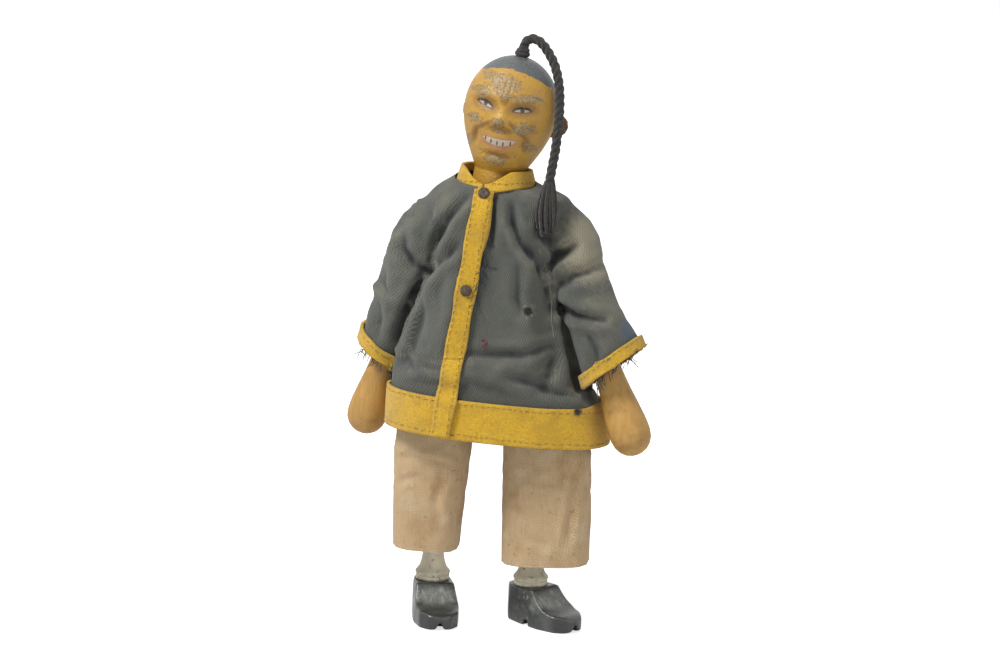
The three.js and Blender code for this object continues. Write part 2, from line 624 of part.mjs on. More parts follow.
// A panel of cloth on the jacket between two heights, its edges given as angles at each height
function jacketPanel(columns, rows, bottom, top, edges, outer, inner) {
  return clothSolid(columns, rows, false, (u, v, depth) => {
    const z = lerp(bottom, top, 1 - (1 - v) ** ROW_EASE)
    const [from, to] = edges(z)
    return jacketPoint(lerp(from, to, u), z, depth ? inner : outer)
  })
}

const aroundFromSlit = (z) => [slitAngle(z) + SLIT_GAP, slitAngle(z) + 2 * Math.PI - SLIT_GAP]
const leftOfSlit = (z) => [slitAngle(z) + SLIT_GAP, Math.PI - SLIT_GAP]
const rightOfSlit = (z) => [SLIT_GAP - Math.PI, slitAngle(z) - SLIT_GAP]
const placketEdges = (z) => [-1, 1].map((side) => frontAngle(placketX(z) + side * PLACKET_WIDTH / 2, z))
const onTop = [-CLOTH_FIT - FELT, -CLOTH_FIT]

function jacketBody() {
  const body = jacketPanel(32, 10, skirtTopZ + CLOTH_FIT, neckEdgeZ, aroundFromSlit, 0, COTTON)
  const [near, far] = [TORSO_WIDTH / 2 - COTTON, 2 * TORSO_WIDTH]
  const armholes = [rodX(ARMHOLE_D, near, far), rodX(ARMHOLE_D, -far, -near)]
  return cut(body, ...armholes.map((hole) => hole.translate(0, 0, shoulderZ - ARMHOLE_DROP)))
}
place(figure, 'jacket_body', jacketBody(), finishes.jacket)
for (const [name, edges] of [['left', leftOfSlit], ['right', rightOfSlit]]) {
  const skirt = jacketPanel(20, 5, hemZ + FELT, skirtTopZ, edges, 0, COTTON)
  const band = jacketPanel(20, 1, hemZ, hemBandTopZ, edges, ...onTop)
  place(figure, `${name}_skirt`, skirt, finishes.jacket)
  place(figure, `${name}_hem_band`, band, finishes.felt)
}
const placketTopZ = neckEdgeZ - FIT
const upperPlacket = jacketPanel(2, 10, skirtTopZ + CLOTH_FIT, placketTopZ, placketEdges, ...onTop)
const lowerPlacket = jacketPanel(2, 3, hemBandTopZ + CLOTH_FIT, skirtTopZ, placketEdges, ...onTop)
place(figure, 'upper_placket', upperPlacket, finishes.felt)
place(figure, 'lower_placket', lowerPlacket, finishes.felt)

// Nail-head buttons on the placket, domed, facing forwards
function button(z) {
  const [, y] = jacketPoint(frontAngle(placketX(z), z - BUTTON_D / 2), z - BUTTON_D / 2, -CLOTH_FIT - FELT)
  const radius = BUTTON_D / 2
  const rim = BUTTON_HEIGHT * 0.3
  const shoulder = BUTTON_HEIGHT * 0.85
  const dome = turned([[0, 0], [radius, 0], [radius, rim], [radius * 0.6, shoulder], [0, BUTTON_HEIGHT]])
  return dome.rotateX(Math.PI / 2).translate(placketX(z), y - 2 * FIT, z)
}
place(figure, 'upper_button', button(placketTopZ), finishes.nail)
place(figure, 'lower_button', button(torsoTopZ - LOWER_BUTTON_DROP), finishes.nail)

// Stand collar: a felt ring, open at the placket, on the jacket's neck edge
const collar = clothSolid(24, 1, false, (u, v, depth) => {
  const gap = COLLAR_GAP / COLLAR_D
  const start = PLACKET_TOP_X / (COLLAR_D / 2)
  const radius = COLLAR_D / 2 - depth * FELT
  const angle = start + lerp(gap, 2 * Math.PI - gap, u)
  return [radius * Math.sin(angle), -radius * Math.cos(angle), neckEdgeZ + CLOTH_FIT + v * COLLAR_HEIGHT]
})
place(figure, 'collar', collar, finishes.felt)

// A sleeve between two places along the arm, 0 at its seam with the body and 1 at its cuff. Above the armpit
// its rings fan out from the arm's line to the body's side.
function sleeve(arm, bottom, top, outer, inner, rows) {
  const { side, splay, swing, outside } = arm
  return clothSolid(16, rows, true, (u, v, depth) => {
    const along = lerp(bottom, top, v)
    const fan = THREE.MathUtils.smoothstep(ARMPIT_DROP - along, 0, ARMPIT_DROP)
    const inset = depth ? inner : outer
    const angle = 2 * Math.PI * u
    const inside = sleeveInside(along)
    const width = lerp(inside + outside, SLEEVE_TOP_WIDTH, fan) + SHOULDER_PUFF * Math.sin(Math.PI * fan)
    const start = Math.max(along, ARMPIT_DROP) - fan * 2
    const lift = between([[ARMPIT_DROP, 0], [SLEEVE_LENGTH, radians(CUFF_TILT)]], along)
    const tilt = lerp(splay + lift, Math.PI / 2, fan)
    const across = (width / 2) * (1 - Math.cos(angle)) + inset * Math.cos(angle)
    const pleat = FOLD * 0.5 * (1 - fan) * Math.cos(4 * angle + along / 6) * Math.sin(angle / 2) ** 2
    const y = -side * (SLEEVE_DEPTH / 2 - inset - 1.5 * fan + pleat) * Math.sin(angle)
    const x = start * Math.sin(splay) - inside * Math.cos(splay) + across * Math.cos(tilt)
    const z = -start * Math.cos(splay) - inside * Math.sin(splay) + across * Math.sin(tilt)
    const turn = -swing * (1 - fan)
    const point = new THREE.Vector3(x, y, z).applyAxisAngle(new THREE.Vector3(1, 0, 0), turn)
    return [side * (shoulderX + point.x), point.y, shoulderZ + point.z]
  })
}

const arms = [
  {
    name: 'left', side: 1, outside: LEFT_SLEEVE_OUTSIDE,
    splay: radians(LEFT_ARM_SPLAY), swing: radians(LEFT_ARM_SWING),
  },
  {
    name: 'right', side: -1, outside: RIGHT_SLEEVE_OUTSIDE,
    splay: radians(RIGHT_ARM_SPLAY), swing: radians(RIGHT_ARM_SWING),
  },
]
for (const arm of arms) {
  const { name, side, splay, swing } = arm
  const shoulder = pivot(figure, `${name}_shoulder`, side * shoulderX, 0, shoulderZ)
  shoulder.rotation.x = -swing
  const reach = new THREE.Vector3(0, 0, -UPPER_ARM_LENGTH).applyMatrix4(armMatrix(side, splay))
  const elbow = pivot(shoulder, `${name}_elbow`, ...reach)
  elbow.rotation.y = -side * splay
  place(shoulder, `${name}_upper_arm`, upperArm(side, splay), finishes.wood)
  const armCord = elastic(ELBOW_BALL_D / 2 + 2 * FIT - UPPER_ARM_LENGTH, -(KNOT_D + ELASTIC_D) / 2 - FIT)
  place(shoulder, `${name}_arm_elastic`, armCord.applyMatrix4(armMatrix(side, splay)), finishes.elastic)
  place(elbow, `${name}_forearm`, forearm(side), finishes.hand)
  const forearmCord = elastic(FIT - FOREARM_BORE, ELBOW_BALL_D / 2 - FIT)
  place(elbow, `${name}_forearm_elastic`, forearmCord, finishes.elastic)
  const cuffTop = SLEEVE_LENGTH - CUFF_HEIGHT
  const upperSleeve = sleeve(arm, UPPER_ARM_LENGTH - CLOTH_FIT, 0, 0, COTTON, 7)
  place(figure, `${name}_upper_sleeve`, upperSleeve, finishes.jacket)
  const lowerSleeve = sleeve(arm, SLEEVE_LENGTH, UPPER_ARM_LENGTH, 0, COTTON, 3)
  place(figure, `${name}_lower_sleeve`, lowerSleeve, finishes.jacket)
  place(figure, `${name}_cuff`, sleeve(arm, SLEEVE_LENGTH + CLOTH_FIT, cuffTop, ...onTop, 1), finishes.felt)
}

// Seat of the trousers, from the crotch line to the waist on the torso block
const waistZ = blockZ + WAISTBAND_RISE
const seat = clothSolid(24, 4, true, (u, v, depth) => {
  const z = lerp(crotchZ, waistZ, v)
  const [offset, width] = legSides[u < 0.5 ? 0 : 1].slice(-2).reverse()
  const legs = legX + offset + width / 2 - TROUSER_TUCK
  const hips = hipDiscEnd + 2 * CLOTH_FIT + COTTON
  const waist = [TORSO_WIDTH, TORSO_DEPTH].map((size) => size / 2 + CLOTH_FIT + COTTON + WAIST_EASE)
  const underJacket = between(jacketWidths, z) - COTTON - 2 * CLOTH_FIT
  const loose = between([[crotchZ, legs], [blockZ, hips], [waistZ, waist[0]]], z)
  const halfDepth = between([[crotchZ, TROUSER_DEPTH / 2], [blockZ, waist[1]]], z)
  const halfWidth = Math.min(loose, underJacket)
  const [x, y] = ringPoint(2 * Math.PI * u, halfWidth - depth * COTTON, halfDepth - depth * COTTON)
  return [x, y, z]
})
place(figure, 'trouser_seat', seat, finishes.trousers)

// Head: egg and neck in one turned piece, with a low carved face, bored through for its elastic
function headRadius(rise) {
  const [neck, widest] = [NECK_D / 2, HEAD_WIDTH / 2]
  const jaw = Math.max(0, rise - NECK_TOP) / (HEAD_WIDEST - NECK_TOP)
  return lerp(neck, widest, Math.sin(Math.PI / 2 * jaw))
}

// Carved features: [across, rise, half width, half height, height]
const features = [
  [0, 25.5, 2.6, 3.4, 2.2], [0, 19, 5.5, 3.2, 1.3], [0, 12.4, 4.5, 2.6, 1.2], [0, 35, 8, 2, 0.7],
  [5.3, 31, 3, 2.2, -0.9], [-5.3, 31, 3, 2.2, -0.9], [8, 23, 3.4, 3.4, 0.7], [-8, 23, 3.4, 3.4, 0.7],
]

function relief(x, rise) {
  const bump = ([across, height, halfWidth, halfHeight, depth]) =>
    depth * Math.exp(-(((x - across) / halfWidth) ** 2) - ((rise - height) / halfHeight) ** 2)
  return features.reduce((sum, feature) => sum + bump(feature), 0)
}

// The turned egg, grown on all sides by an allowance
function egg(allowance) {
  const capAngle = THREE.MathUtils.radToDeg(Math.asin(NECK_D / NECK_BALL_D)) - 2
  const profile = ballArc(NECK_BALL_D, 0, 0, capAngle, 5)
  const [jawSteps, crownSteps] = [11, 7]
  for (let i = 0; i < jawSteps; i++) {
    const rise = lerp(NECK_TOP / 2, HEAD_WIDEST, i / jawSteps)
    profile.push([headRadius(rise) + allowance, rise])
  }
  for (let i = 0; i <= crownSteps; i++) {
    const angle = Math.PI / 2 * i / crownSteps
    const radius = i === crownSteps ? 0 : (HEAD_WIDTH / 2 + allowance) * Math.cos(angle)
    profile.push([radius, HEAD_WIDEST + (HEAD_RISE - HEAD_WIDEST + allowance) * Math.sin(angle)])
  }
  return turned(profile, 28)
}

function headSolid() {
  const carved = egg(0)
  const points = carved.attributes.position
  for (let i = 0; i < points.count; i++) {
    if (points.getY(i) < -1) points.setY(i, points.getY(i) - relief(points.getX(i), points.getZ(i)))
  }
  return cut(
    carved,
    rodZ(boreD, -NECK_BALL_D, HEAD_RISE, 12),
    rodZ(counterboreD, HEAD_RISE - CROWN_BORE, HEAD_RISE + 1),
  )
}

const neck = pivot(figure, 'neck', 0, 0, neckZ)
neck.rotation.set(0, radians(HEAD_LEAN), radians(HEAD_TURN), 'YZX')
place(neck, 'head', headSolid(), finishes.face)
for (const [name, side, out] of [['left_ear', 1, LEFT_EAR_OUT], ['right_ear', -1, RIGHT_EAR_OUT]]) {
  const tab = new THREE.SphereGeometry(1, 12, 8).scale(out, EAR_THICKNESS / 2, EAR_HEIGHT / 2)
  const turn = side > 0 ? EAR_BACK : 180 - EAR_BACK
  tab.translate(headRadius(EAR_RISE), 0, EAR_RISE).rotateZ(radians(turn))
  place(neck, name, cut(tab, egg(FIT)), finishes.ear)
}
const headKnotZ = HEAD_RISE - CROWN_BORE + FIT + KNOT_D / 2
place(neck, 'neck_elastic', elastic(FIT - NECK_BALL_D / 2, headKnotZ, [headKnotZ]), finishes.elastic)

// Queue: a bound root plugged into the crown, a cord that arches over and hangs before the left shoulder, and
// its unravelled end. Its points are offsets from the crown, with the figure's own axes.
const plug = KNOT_D / 2
const queueKnot = turned([
  [0, headKnotZ + plug + FIT], [plug, headKnotZ + plug + FIT],
  [plug, HEAD_RISE + FIT], [QUEUE_KNOT_D / 2, HEAD_RISE + 2 * FIT],
  [QUEUE_KNOT_D / 2, HEAD_RISE + QUEUE_KNOT_HEIGHT / 2],
  [QUEUE_D / 2, HEAD_RISE + QUEUE_KNOT_HEIGHT], [0, HEAD_RISE + QUEUE_KNOT_HEIGHT],
])
place(neck, 'queue_knot', queueKnot, finishes.queue)
const crown = new THREE.Vector3(0, 0, HEAD_RISE).applyEuler(neck.rotation).add(neck.position)
const queue = pivot(figure, 'queue', ...crown)
const cordRoute = [
  [0.65, 0, 3.7], [1.3, -0.1, 5], [3.3, -0.4, 6.2], [6, -1, 5.4], [8.9, -2, 2.4], [11.8, -3.6, -2.6],
  [13.6, -5.4, -9], [14.2, -7, -16.5], [14, -8.6, -24], [13.5, -10, -31], [12.6, -11.4, -37.5],
  [11.9, -12.6, -43],
]
const tasselRoute = [[11.8, -12.8, -43.6], [11.5, -14.2, -49], [11.4, -15.4, -55], [11.5, -16.2, -61]]
const route = (points) => points.map(([x, y, z]) => new THREE.Vector3(x, y, z))
place(queue, 'queue_cord', cordAlong(route(cordRoute), QUEUE_D, QUEUE_STEPS), finishes.queue)
place(queue, 'queue_tassel', cordAlong(route(tasselRoute), TASSEL_D, TASSEL_STEPS), finishes.queue)

// The origin is the middle of the footprint, on the ground, without the queue
queue.removeFromParent()
const bounds = new THREE.Box3().setFromObject(figure)
const middle = bounds.getCenter(new THREE.Vector3())
figure.add(queue)
figure.position.set(-middle.x, -middle.y, -bounds.min.z)
figure.updateMatrixWorld(true)

export default figure
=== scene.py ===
import math
import random

import bmesh
import bpy
from mathutils import Matrix, Vector
from mathutils.bvhtree import BVHTree


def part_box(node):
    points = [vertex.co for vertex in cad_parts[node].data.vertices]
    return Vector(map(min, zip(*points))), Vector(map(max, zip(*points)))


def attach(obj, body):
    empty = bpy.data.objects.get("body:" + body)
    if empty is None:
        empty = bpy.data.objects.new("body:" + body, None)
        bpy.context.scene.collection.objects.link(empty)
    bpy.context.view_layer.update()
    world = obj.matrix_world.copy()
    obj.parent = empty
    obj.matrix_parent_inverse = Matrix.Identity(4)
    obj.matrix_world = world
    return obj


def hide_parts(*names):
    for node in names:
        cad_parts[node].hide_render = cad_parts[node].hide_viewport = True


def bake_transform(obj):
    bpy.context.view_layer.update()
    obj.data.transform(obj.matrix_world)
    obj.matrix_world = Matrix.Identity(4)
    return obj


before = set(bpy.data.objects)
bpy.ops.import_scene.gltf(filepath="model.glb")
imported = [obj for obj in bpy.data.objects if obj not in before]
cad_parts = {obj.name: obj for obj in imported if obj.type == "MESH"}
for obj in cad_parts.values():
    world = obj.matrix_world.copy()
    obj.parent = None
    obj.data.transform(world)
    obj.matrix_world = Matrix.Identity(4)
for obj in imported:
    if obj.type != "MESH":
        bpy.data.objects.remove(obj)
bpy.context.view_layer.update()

# The studio: a pale floor that runs to white, one broad soft light from above the viewer's left and
# a weaker one on the right, and the camera, a little to the figure's left and tipped by two degrees.
MM = 0.001
scene = bpy.context.scene
scene.view_settings.view_transform = "Standard"
FIGURE_X, FIGURE_Y, _ = (sum(ends) / 2 / MM for ends in zip(*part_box("torso")))


def placed(point):
    """A point in mm from the middle of the torso and the floor, in the frame."""
    return Vector((point[0] + FIGURE_X, point[1] + FIGURE_Y, point[2])) * MM


def new_object(name, bm, *materials):
    mesh = bpy.data.meshes.new(name)
    bm.to_mesh(mesh)
    bm.free()
    for face in mesh.polygons:
        face.use_smooth = True
    for material in materials:
        mesh.materials.append(material)
    obj = bpy.data.objects.new(name, mesh)
    scene.collection.objects.link(obj)
    return obj


def add(tree, kind, inputs, **settings):
    """A shader node with some settings, its inputs linked to sockets or set to values."""
    item = tree.nodes.new("ShaderNode" + kind)
    for key, value in settings.items():
        setattr(item, key, value)
    for key, value in inputs.items():
        if isinstance(value, bpy.types.NodeSocket):
            tree.links.new(value, item.inputs[key])
        else:
            item.inputs[key].default_value = value
    return item


def node_material(name, roughness):
    material = bpy.data.materials.new(name)
    material.use_nodes = True
    shader = material.node_tree.nodes["Principled BSDF"]
    shader.inputs["Roughness"].default_value = roughness
    return material, material.node_tree, shader


floor_bm = bmesh.new()
bmesh.ops.create_grid(floor_bm, x_segments=2, y_segments=2, size=4)
floor_paint, floor_tree, floor_shader = node_material("pale_floor", 0.3)
floor_shader.inputs["Specular IOR Level"].default_value = 0.3
floor_cloud = add(floor_tree, "TexNoise", {"Scale": 3, "Detail": 2})
floor_tone = add(floor_tree, "MapRange", {"Value": floor_cloud.outputs[0], "To Min": 0.86, "To Max": 0.9})
floor_tree.links.new(floor_tone.outputs[0], floor_shader.inputs["Base Color"])
FLOOR_LIFT = 0.7
floor_path = add(floor_tree, "LightPath", {})
floor_lift = add(
    floor_tree, "Math", {0: floor_path.outputs["Is Camera Ray"], 1: FLOOR_LIFT}, operation="MULTIPLY")
floor_tree.links.new(floor_lift.outputs[0], floor_shader.inputs["Emission Strength"])
floor_shader.inputs["Emission Color"].default_value = (1, 1, 1, 1)
floor = new_object("floor", floor_bm, floor_paint)
floor.location.z = -0.02 * MM

world = bpy.data.worlds.new("studio")
scene.world = world
world.use_nodes = True
sky_tree = world.node_tree
sky = sky_tree.nodes["Background"]
sky_path = add(sky_tree, "LightPath", {})
sky_seen = add(sky_tree, "Math", {
    0: sky_path.outputs["Is Camera Ray"], 1: sky_path.outputs["Is Glossy Ray"],
}, operation="MAXIMUM")
sky_strength = add(sky_tree, "MapRange", {"Value": sky_seen.outputs[0], "To Min": 0.27, "To Max": 1.0})
sky_tree.links.new(sky_strength.outputs[0], sky.inputs["Strength"])
sky.inputs["Color"].default_value = (1, 1, 1, 1)

FIGURE_MIDDLE = placed((3.4, 0, 103.7))


def studio_lamp(name, place, size, watts):
    data = bpy.data.lights.new(name, "AREA")
    data.shape = "DISK"
    data.size = size
    data.energy = watts
    lamp = bpy.data.objects.new(name, data)
    lamp.location = place
    lamp.rotation_euler = (FIGURE_MIDDLE - lamp.location).to_track_quat("-Z", "Y").to_euler()
    scene.collection.objects.link(lamp)


studio_lamp("key_light", Vector((-0.55, -0.5, 1.1)), 0.4, 13)
studio_lamp("fill_light", Vector((0.95, -0.6, 0.45)), 0.7, 1.8)

CAMERA_DISTANCE = 1.0
FIELD_WIDTH = 0.352
CAMERA_AZIMUTH = math.radians(4.5)
CAMERA_ELEVATION = math.radians(10)
CAMERA_ROLL = math.radians(2.1)
camera_data = bpy.data.cameras.new("camera")
camera_data.lens = camera_data.sensor_width * CAMERA_DISTANCE / FIELD_WIDTH
camera = bpy.data.objects.new("camera", camera_data)
back = Vector((
    math.sin(CAMERA_AZIMUTH) * math.cos(CAMERA_ELEVATION),
    -math.cos(CAMERA_AZIMUTH) * math.cos(CAMERA_ELEVATION),
    math.sin(CAMERA_ELEVATION),
))
camera.location = FIGURE_MIDDLE + back * CAMERA_DISTANCE
aim = (-back).to_track_quat("-Z", "Y").to_matrix()
camera.rotation_euler = (aim @ Matrix.Rotation(CAMERA_ROLL, 3, "Z")).to_euler()
scene.collection.objects.link(camera)
scene.camera = camera

# The wooden core: torso block, thighs and upper arms of pale turned wood, strung on cotton-covered elastic.
# They stay as CAD made them and take a grained finish, since only their edges show under the clothes.


def srgb(code):
    channels = [int(code[i:i + 2], 16) / 255 for i in (0, 2, 4)]
    return [c / 12.92 if c <= 0.04045 else ((c + 0.055) / 1.055) ** 2.4 for c in channels] + [1]


def shader_group(name, inputs, outputs):
    tree = bpy.data.node_groups.new(name, "ShaderNodeTree")
    for direction, sockets in (("INPUT", inputs), ("OUTPUT", outputs)):
        for label, kind in sockets.items():
            tree.interface.new_socket(label, in_out=direction, socket_type="NodeSocket" + kind)
    return tree, tree.nodes.new("NodeGroupInput").outputs, tree.nodes.new("NodeGroupOutput").inputs


def group_node(tree, group, inputs):
    return add(tree, "Group", inputs, node_tree=group).outputs


PATCHES, asked, given = shader_group(
    "patches", {"Vector": "Vector", "Scale": "Float", "Low": "Float", "High": "Float"}, {"Mask": "Float"})
cloud = add(PATCHES, "TexNoise", {
    "Vector": asked["Vector"], "Scale": asked["Scale"], "Detail": 7, "Roughness": 0.6,
})
edge = add(PATCHES, "MapRange", {
    "Value": cloud.outputs[0], "From Min": asked["Low"], "From Max": asked["High"],
}, interpolation_type="SMOOTHSTEP")
PATCHES.links.new(edge.outputs[0], given["Mask"])


def patches(tree, vector, scale, low, high):
    """A mask of cloudy patches, which starts at a low level of the cloud and is full at a high one."""
    return group_node(tree, PATCHES, {"Vector": vector, "Scale": scale, "Low": low, "High": high})["Mask"]


def sums(tree, operation, *values):
    """Values and sockets joined by one operation, from first to last."""
    total = values[0]
    for value in values[1:]:
        total = add(tree, "Math", {0: total, 1: value}, operation=operation).outputs[0]
    return total


def layered(tree, under, *coats):
    """A colour, covered in turn by coats of (mask, colour code, and perhaps how much of it shows)."""
    for mask, colour, *share in coats:
        shown = sums(tree, "MULTIPLY", mask, *share)
        coat = add(tree, "Mix", {0: shown, 6: under, 7: srgb(colour)}, data_type="RGBA")
        under = coat.outputs[2]
    return under


def in_mm(tree):
    place = add(tree, "TexCoord", {})
    return add(tree, "VectorMath", {0: place.outputs["Object"], "Scale": 1000}, operation="SCALE").outputs[0]


def stretched(tree, vector, scale):
    return add(tree, "VectorMath", {0: vector, 1: scale}, operation="MULTIPLY").outputs[0]


def dressed(tree, shader, colour, height, depth):
    """Gives a material its colour, and relief of some depth in mm from a height."""
    tree.links.new(colour, shader.inputs["Base Color"])
    bump = add(tree, "Bump", {"Height": height, "Distance": depth * MM, "Strength": 1.0})
    tree.links.new(bump.outputs[0], shader.inputs["Normal"])


def wood_finish():
    material, tree, shader = node_material("bare_wood", 0.7)
    place = in_mm(tree)
    grain = patches(tree, stretched(tree, place, (1.1, 1.1, 0.07)), 1.0, 0.35, 0.65)
    dirt = patches(tree, place, 0.12, 0.5, 0.75)
    colour = layered(tree, srgb("c9a878"), (grain, "a9824f"), (dirt, "8f6f48"))
    dressed(tree, shader, colour, grain, 0.08)
    return material


def elastic_finish():
    material, tree, shader = node_material("elastic_cord", 0.9)
    place = in_mm(tree)
    ribs = add(tree, "TexWave", {"Vector": place, "Scale": 1.4, "Distortion": 2.0, "Detail": 2})
    colour = layered(tree, srgb("d8cfb8"), (ribs.outputs[1], "a89a80"))
    dressed(tree, shader, colour, ribs.outputs[1], 0.15)
    return material


SIDES = {"left": 1, "right": -1}
bare_wood = wood_finish()
elastic_cover = elastic_finish()
wooden = ["torso"] + [f"{side}_{part}" for side in SIDES for part in ("thigh", "upper_arm")]
strings = ["shoulder_elastic", "hip_elastic", "neck_elastic"] + [
    f"{side}_{part}_elastic" for side in SIDES for part in ("shin", "thigh", "arm", "forearm")]
for names, finish in ((wooden, bare_wood), (strings, elastic_cover)):
    for name in names:
        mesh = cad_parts[name].data
        mesh.materials.clear()
        mesh.materials.append(finish)
        for face in mesh.polygons:
            face.material_index = 0

# The shins: turned wood painted off-white, chipped and soiled, with painted shade in the hollows
# and a bead round each ankle.
# Each is one profile spun on a lathe; the bead sits in the top of the shoe.
LEG_X = 17.6
SHIN_PROFILE = [  # radius, height
    (0.0, 12.9), (5.4, 12.9), (5.95, 13.3), (6.1, 13.9), (5.95, 14.5), (5.6, 14.8), (5.95, 15.1),
    (6.25, 15.7), (6.1, 16.3), (5.5, 17.0), (4.9, 17.9), (4.4, 19.2), (4.0, 21.0), (3.75, 23.0),
    (3.8, 24.8), (4.3, 26.6), (5.0, 28.4), (5.7, 30.6), (5.7, 40), (5.2, 43), (4.1, 44.6), (4.1, 46.4),
    (5.4, 49.4), (6.0, 52.2), (5.4, 54.8), (3.9, 56.6), (1.3, 57.8), (0.0, 58.0),
]


def spun(profile, steps):
    bm = bmesh.new()
    verts = [bm.verts.new((radius, 0, height)) for radius, height in profile]
    edges = [bm.edges.new(pair) for pair in zip(verts, verts[1:])]
    bmesh.ops.spin(bm, geom=verts + edges, cent=(0, 0, 0), axis=(0, 0, 1), angle=2 * math.pi, steps=steps)
    bmesh.ops.remove_doubles(bm, verts=bm.verts, dist=1e-4)
    bmesh.ops.recalc_face_normals(bm, faces=bm.faces)
    return bm


def ramp(tree, value, low, high):
    """A mask that goes from 0 where a value is low to 1 where it is high."""
    return add(tree, "MapRange", {"Value": value, "From Min": low, "From Max": high}).outputs[0]


def noise(tree, vector, scale, detail):
    return add(tree, "TexNoise", {"Vector": vector, "Scale": scale, "Detail": detail}).outputs[0]


def pointiness(tree):
    return add(tree, "NewGeometry", {}).outputs["Pointiness"]


def shin_finish():
    """Old white paint: chipped to the wood, rubbed through on proud edges, soiled, with painted shade in
    hollows.
    """
    material, tree, shader = node_material("white_paint", 0.45)
    place = in_mm(tree)
    pointed = pointiness(tree)
    proud, hollow_shade = ramp(tree, pointed, 0.53, 0.6), ramp(tree, pointed, 0.49, 0.42)
    rubbed = sums(tree, "MULTIPLY", proud, patches(tree, place, 0.5, 0.4, 0.6))
    chipped = patches(tree, place, 0.45, 0.62, 0.64)
    gone = sums(tree, "MAXIMUM", rubbed, chipped)
    uneven = patches(tree, place, 0.18, 0.35, 0.75)
    # painted shade: the hollows are darkened in the same colour as the patches of real soiling
    grime_and_hollow_shade = sums(tree, "MAXIMUM", hollow_shade, patches(tree, place, 0.3, 0.55, 0.8))
    colour = layered(tree, srgb("e8e0c8"), (uneven, "d6cdb2"), (grime_and_hollow_shade, "9c8f6c"), (gone, "6e6350"))
    fine = noise(tree, place, 2.2, 4)
    height = sums(tree, "SUBTRACT", sums(tree, "MULTIPLY", fine, 0.35), gone)
    dressed(tree, shader, colour, height, 0.12)
    return material


white_paint = shin_finish()
for side, sign in SIDES.items():
    shin = new_object(f"{side}_shin_turned", spun(SHIN_PROFILE, 64), white_paint)
    shin.data.transform(Matrix.Translation(placed((sign * LEG_X, 0, 0))) @ Matrix.Scale(MM, 4))
    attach(shin, f"{side}_lower_leg")
    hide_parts(f"{side}_shin")

# The shoes: carved wood painted black, the vamp scuffed grey and partly painted lighter as sheen, and the
# edges worn to the wood.
# Each is the CAD shoe with its arrises rubbed down, as handling has left them.


def softened(name, mesh, voxel, smoothing):
    """A solid's mesh cut into even small faces and smoothed, so that its edges look worn."""
    block = bpy.data.objects.new(name, mesh)
    scene.collection.objects.link(block)
    even = block.modifiers.new("even", "REMESH")
    even.mode = "VOXEL"
    even.voxel_size = voxel
    rub = block.modifiers.new("rub", "SMOOTH")
    rub.factor = 0.5
    rub.iterations = smoothing
    done = bpy.data.meshes.new_from_object(block.evaluated_get(bpy.context.evaluated_depsgraph_get()))
    bpy.data.objects.remove(block)
    bm = bmesh.new()
    bm.from_mesh(done)
    bpy.data.meshes.remove(done)
    return bm


def merged_copy(node):
    bm = bmesh.new()
    bm.from_mesh(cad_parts[node].data)
    bmesh.ops.remove_doubles(bm, verts=bm.verts, dist=1e-6)
    mesh = bpy.data.meshes.new(node + "_copy")
    bm.to_mesh(mesh)
    bm.free()
    return mesh


def store(obj, name, vector_of):
    """Keeps a vector for every point of a mesh, in mm, for its material to read."""
    layer = obj.data.attributes.new(name, "FLOAT_VECTOR", "POINT")
    for item, vert in zip(layer.data, obj.data.vertices):
        item.vector = vector_of(vert.co)


SPOT, asked, given = shader_group(
    "spot", {"Vector": "Vector", "Centre": "Vector", "Size": "Vector", "Rag": "Float"}, {"Mask": "Float"})
offset = add(SPOT, "VectorMath", {0: asked["Vector"], 1: asked["Centre"]}, operation="SUBTRACT")
shrunk = add(SPOT, "VectorMath", {0: offset.outputs[0], 1: asked["Size"]}, operation="DIVIDE")
far = add(SPOT, "VectorMath", {0: shrunk.outputs[0]}, operation="LENGTH")
ragged = add(SPOT, "TexNoise", {"Vector": asked["Vector"], "Scale": 0.6, "Detail": 6})
rag = add(SPOT, "Math", {0: ragged.outputs[0], 1: asked["Rag"]}, operation="MULTIPLY")
reach = add(SPOT, "Math", {0: far.outputs["Value"], 1: rag.outputs[0]}, operation="ADD")
inside = add(SPOT, "MapRange", {
    "Value": reach.outputs[0], "From Min": 1.25, "From Max": 0.75,
}, interpolation_type="SMOOTHSTEP")
SPOT.links.new(inside.outputs[0], given["Mask"])


def spot(tree, vector, centre, size, rag):
    """A mask for one oval patch with a ragged edge."""
    return group_node(tree, SPOT, {"Vector": vector, "Centre": centre, "Size": size, "Rag": rag})["Mask"]


def stored(tree, name):
    return add(tree, "Attribute", {}, attribute_name=name).outputs["Vector"]


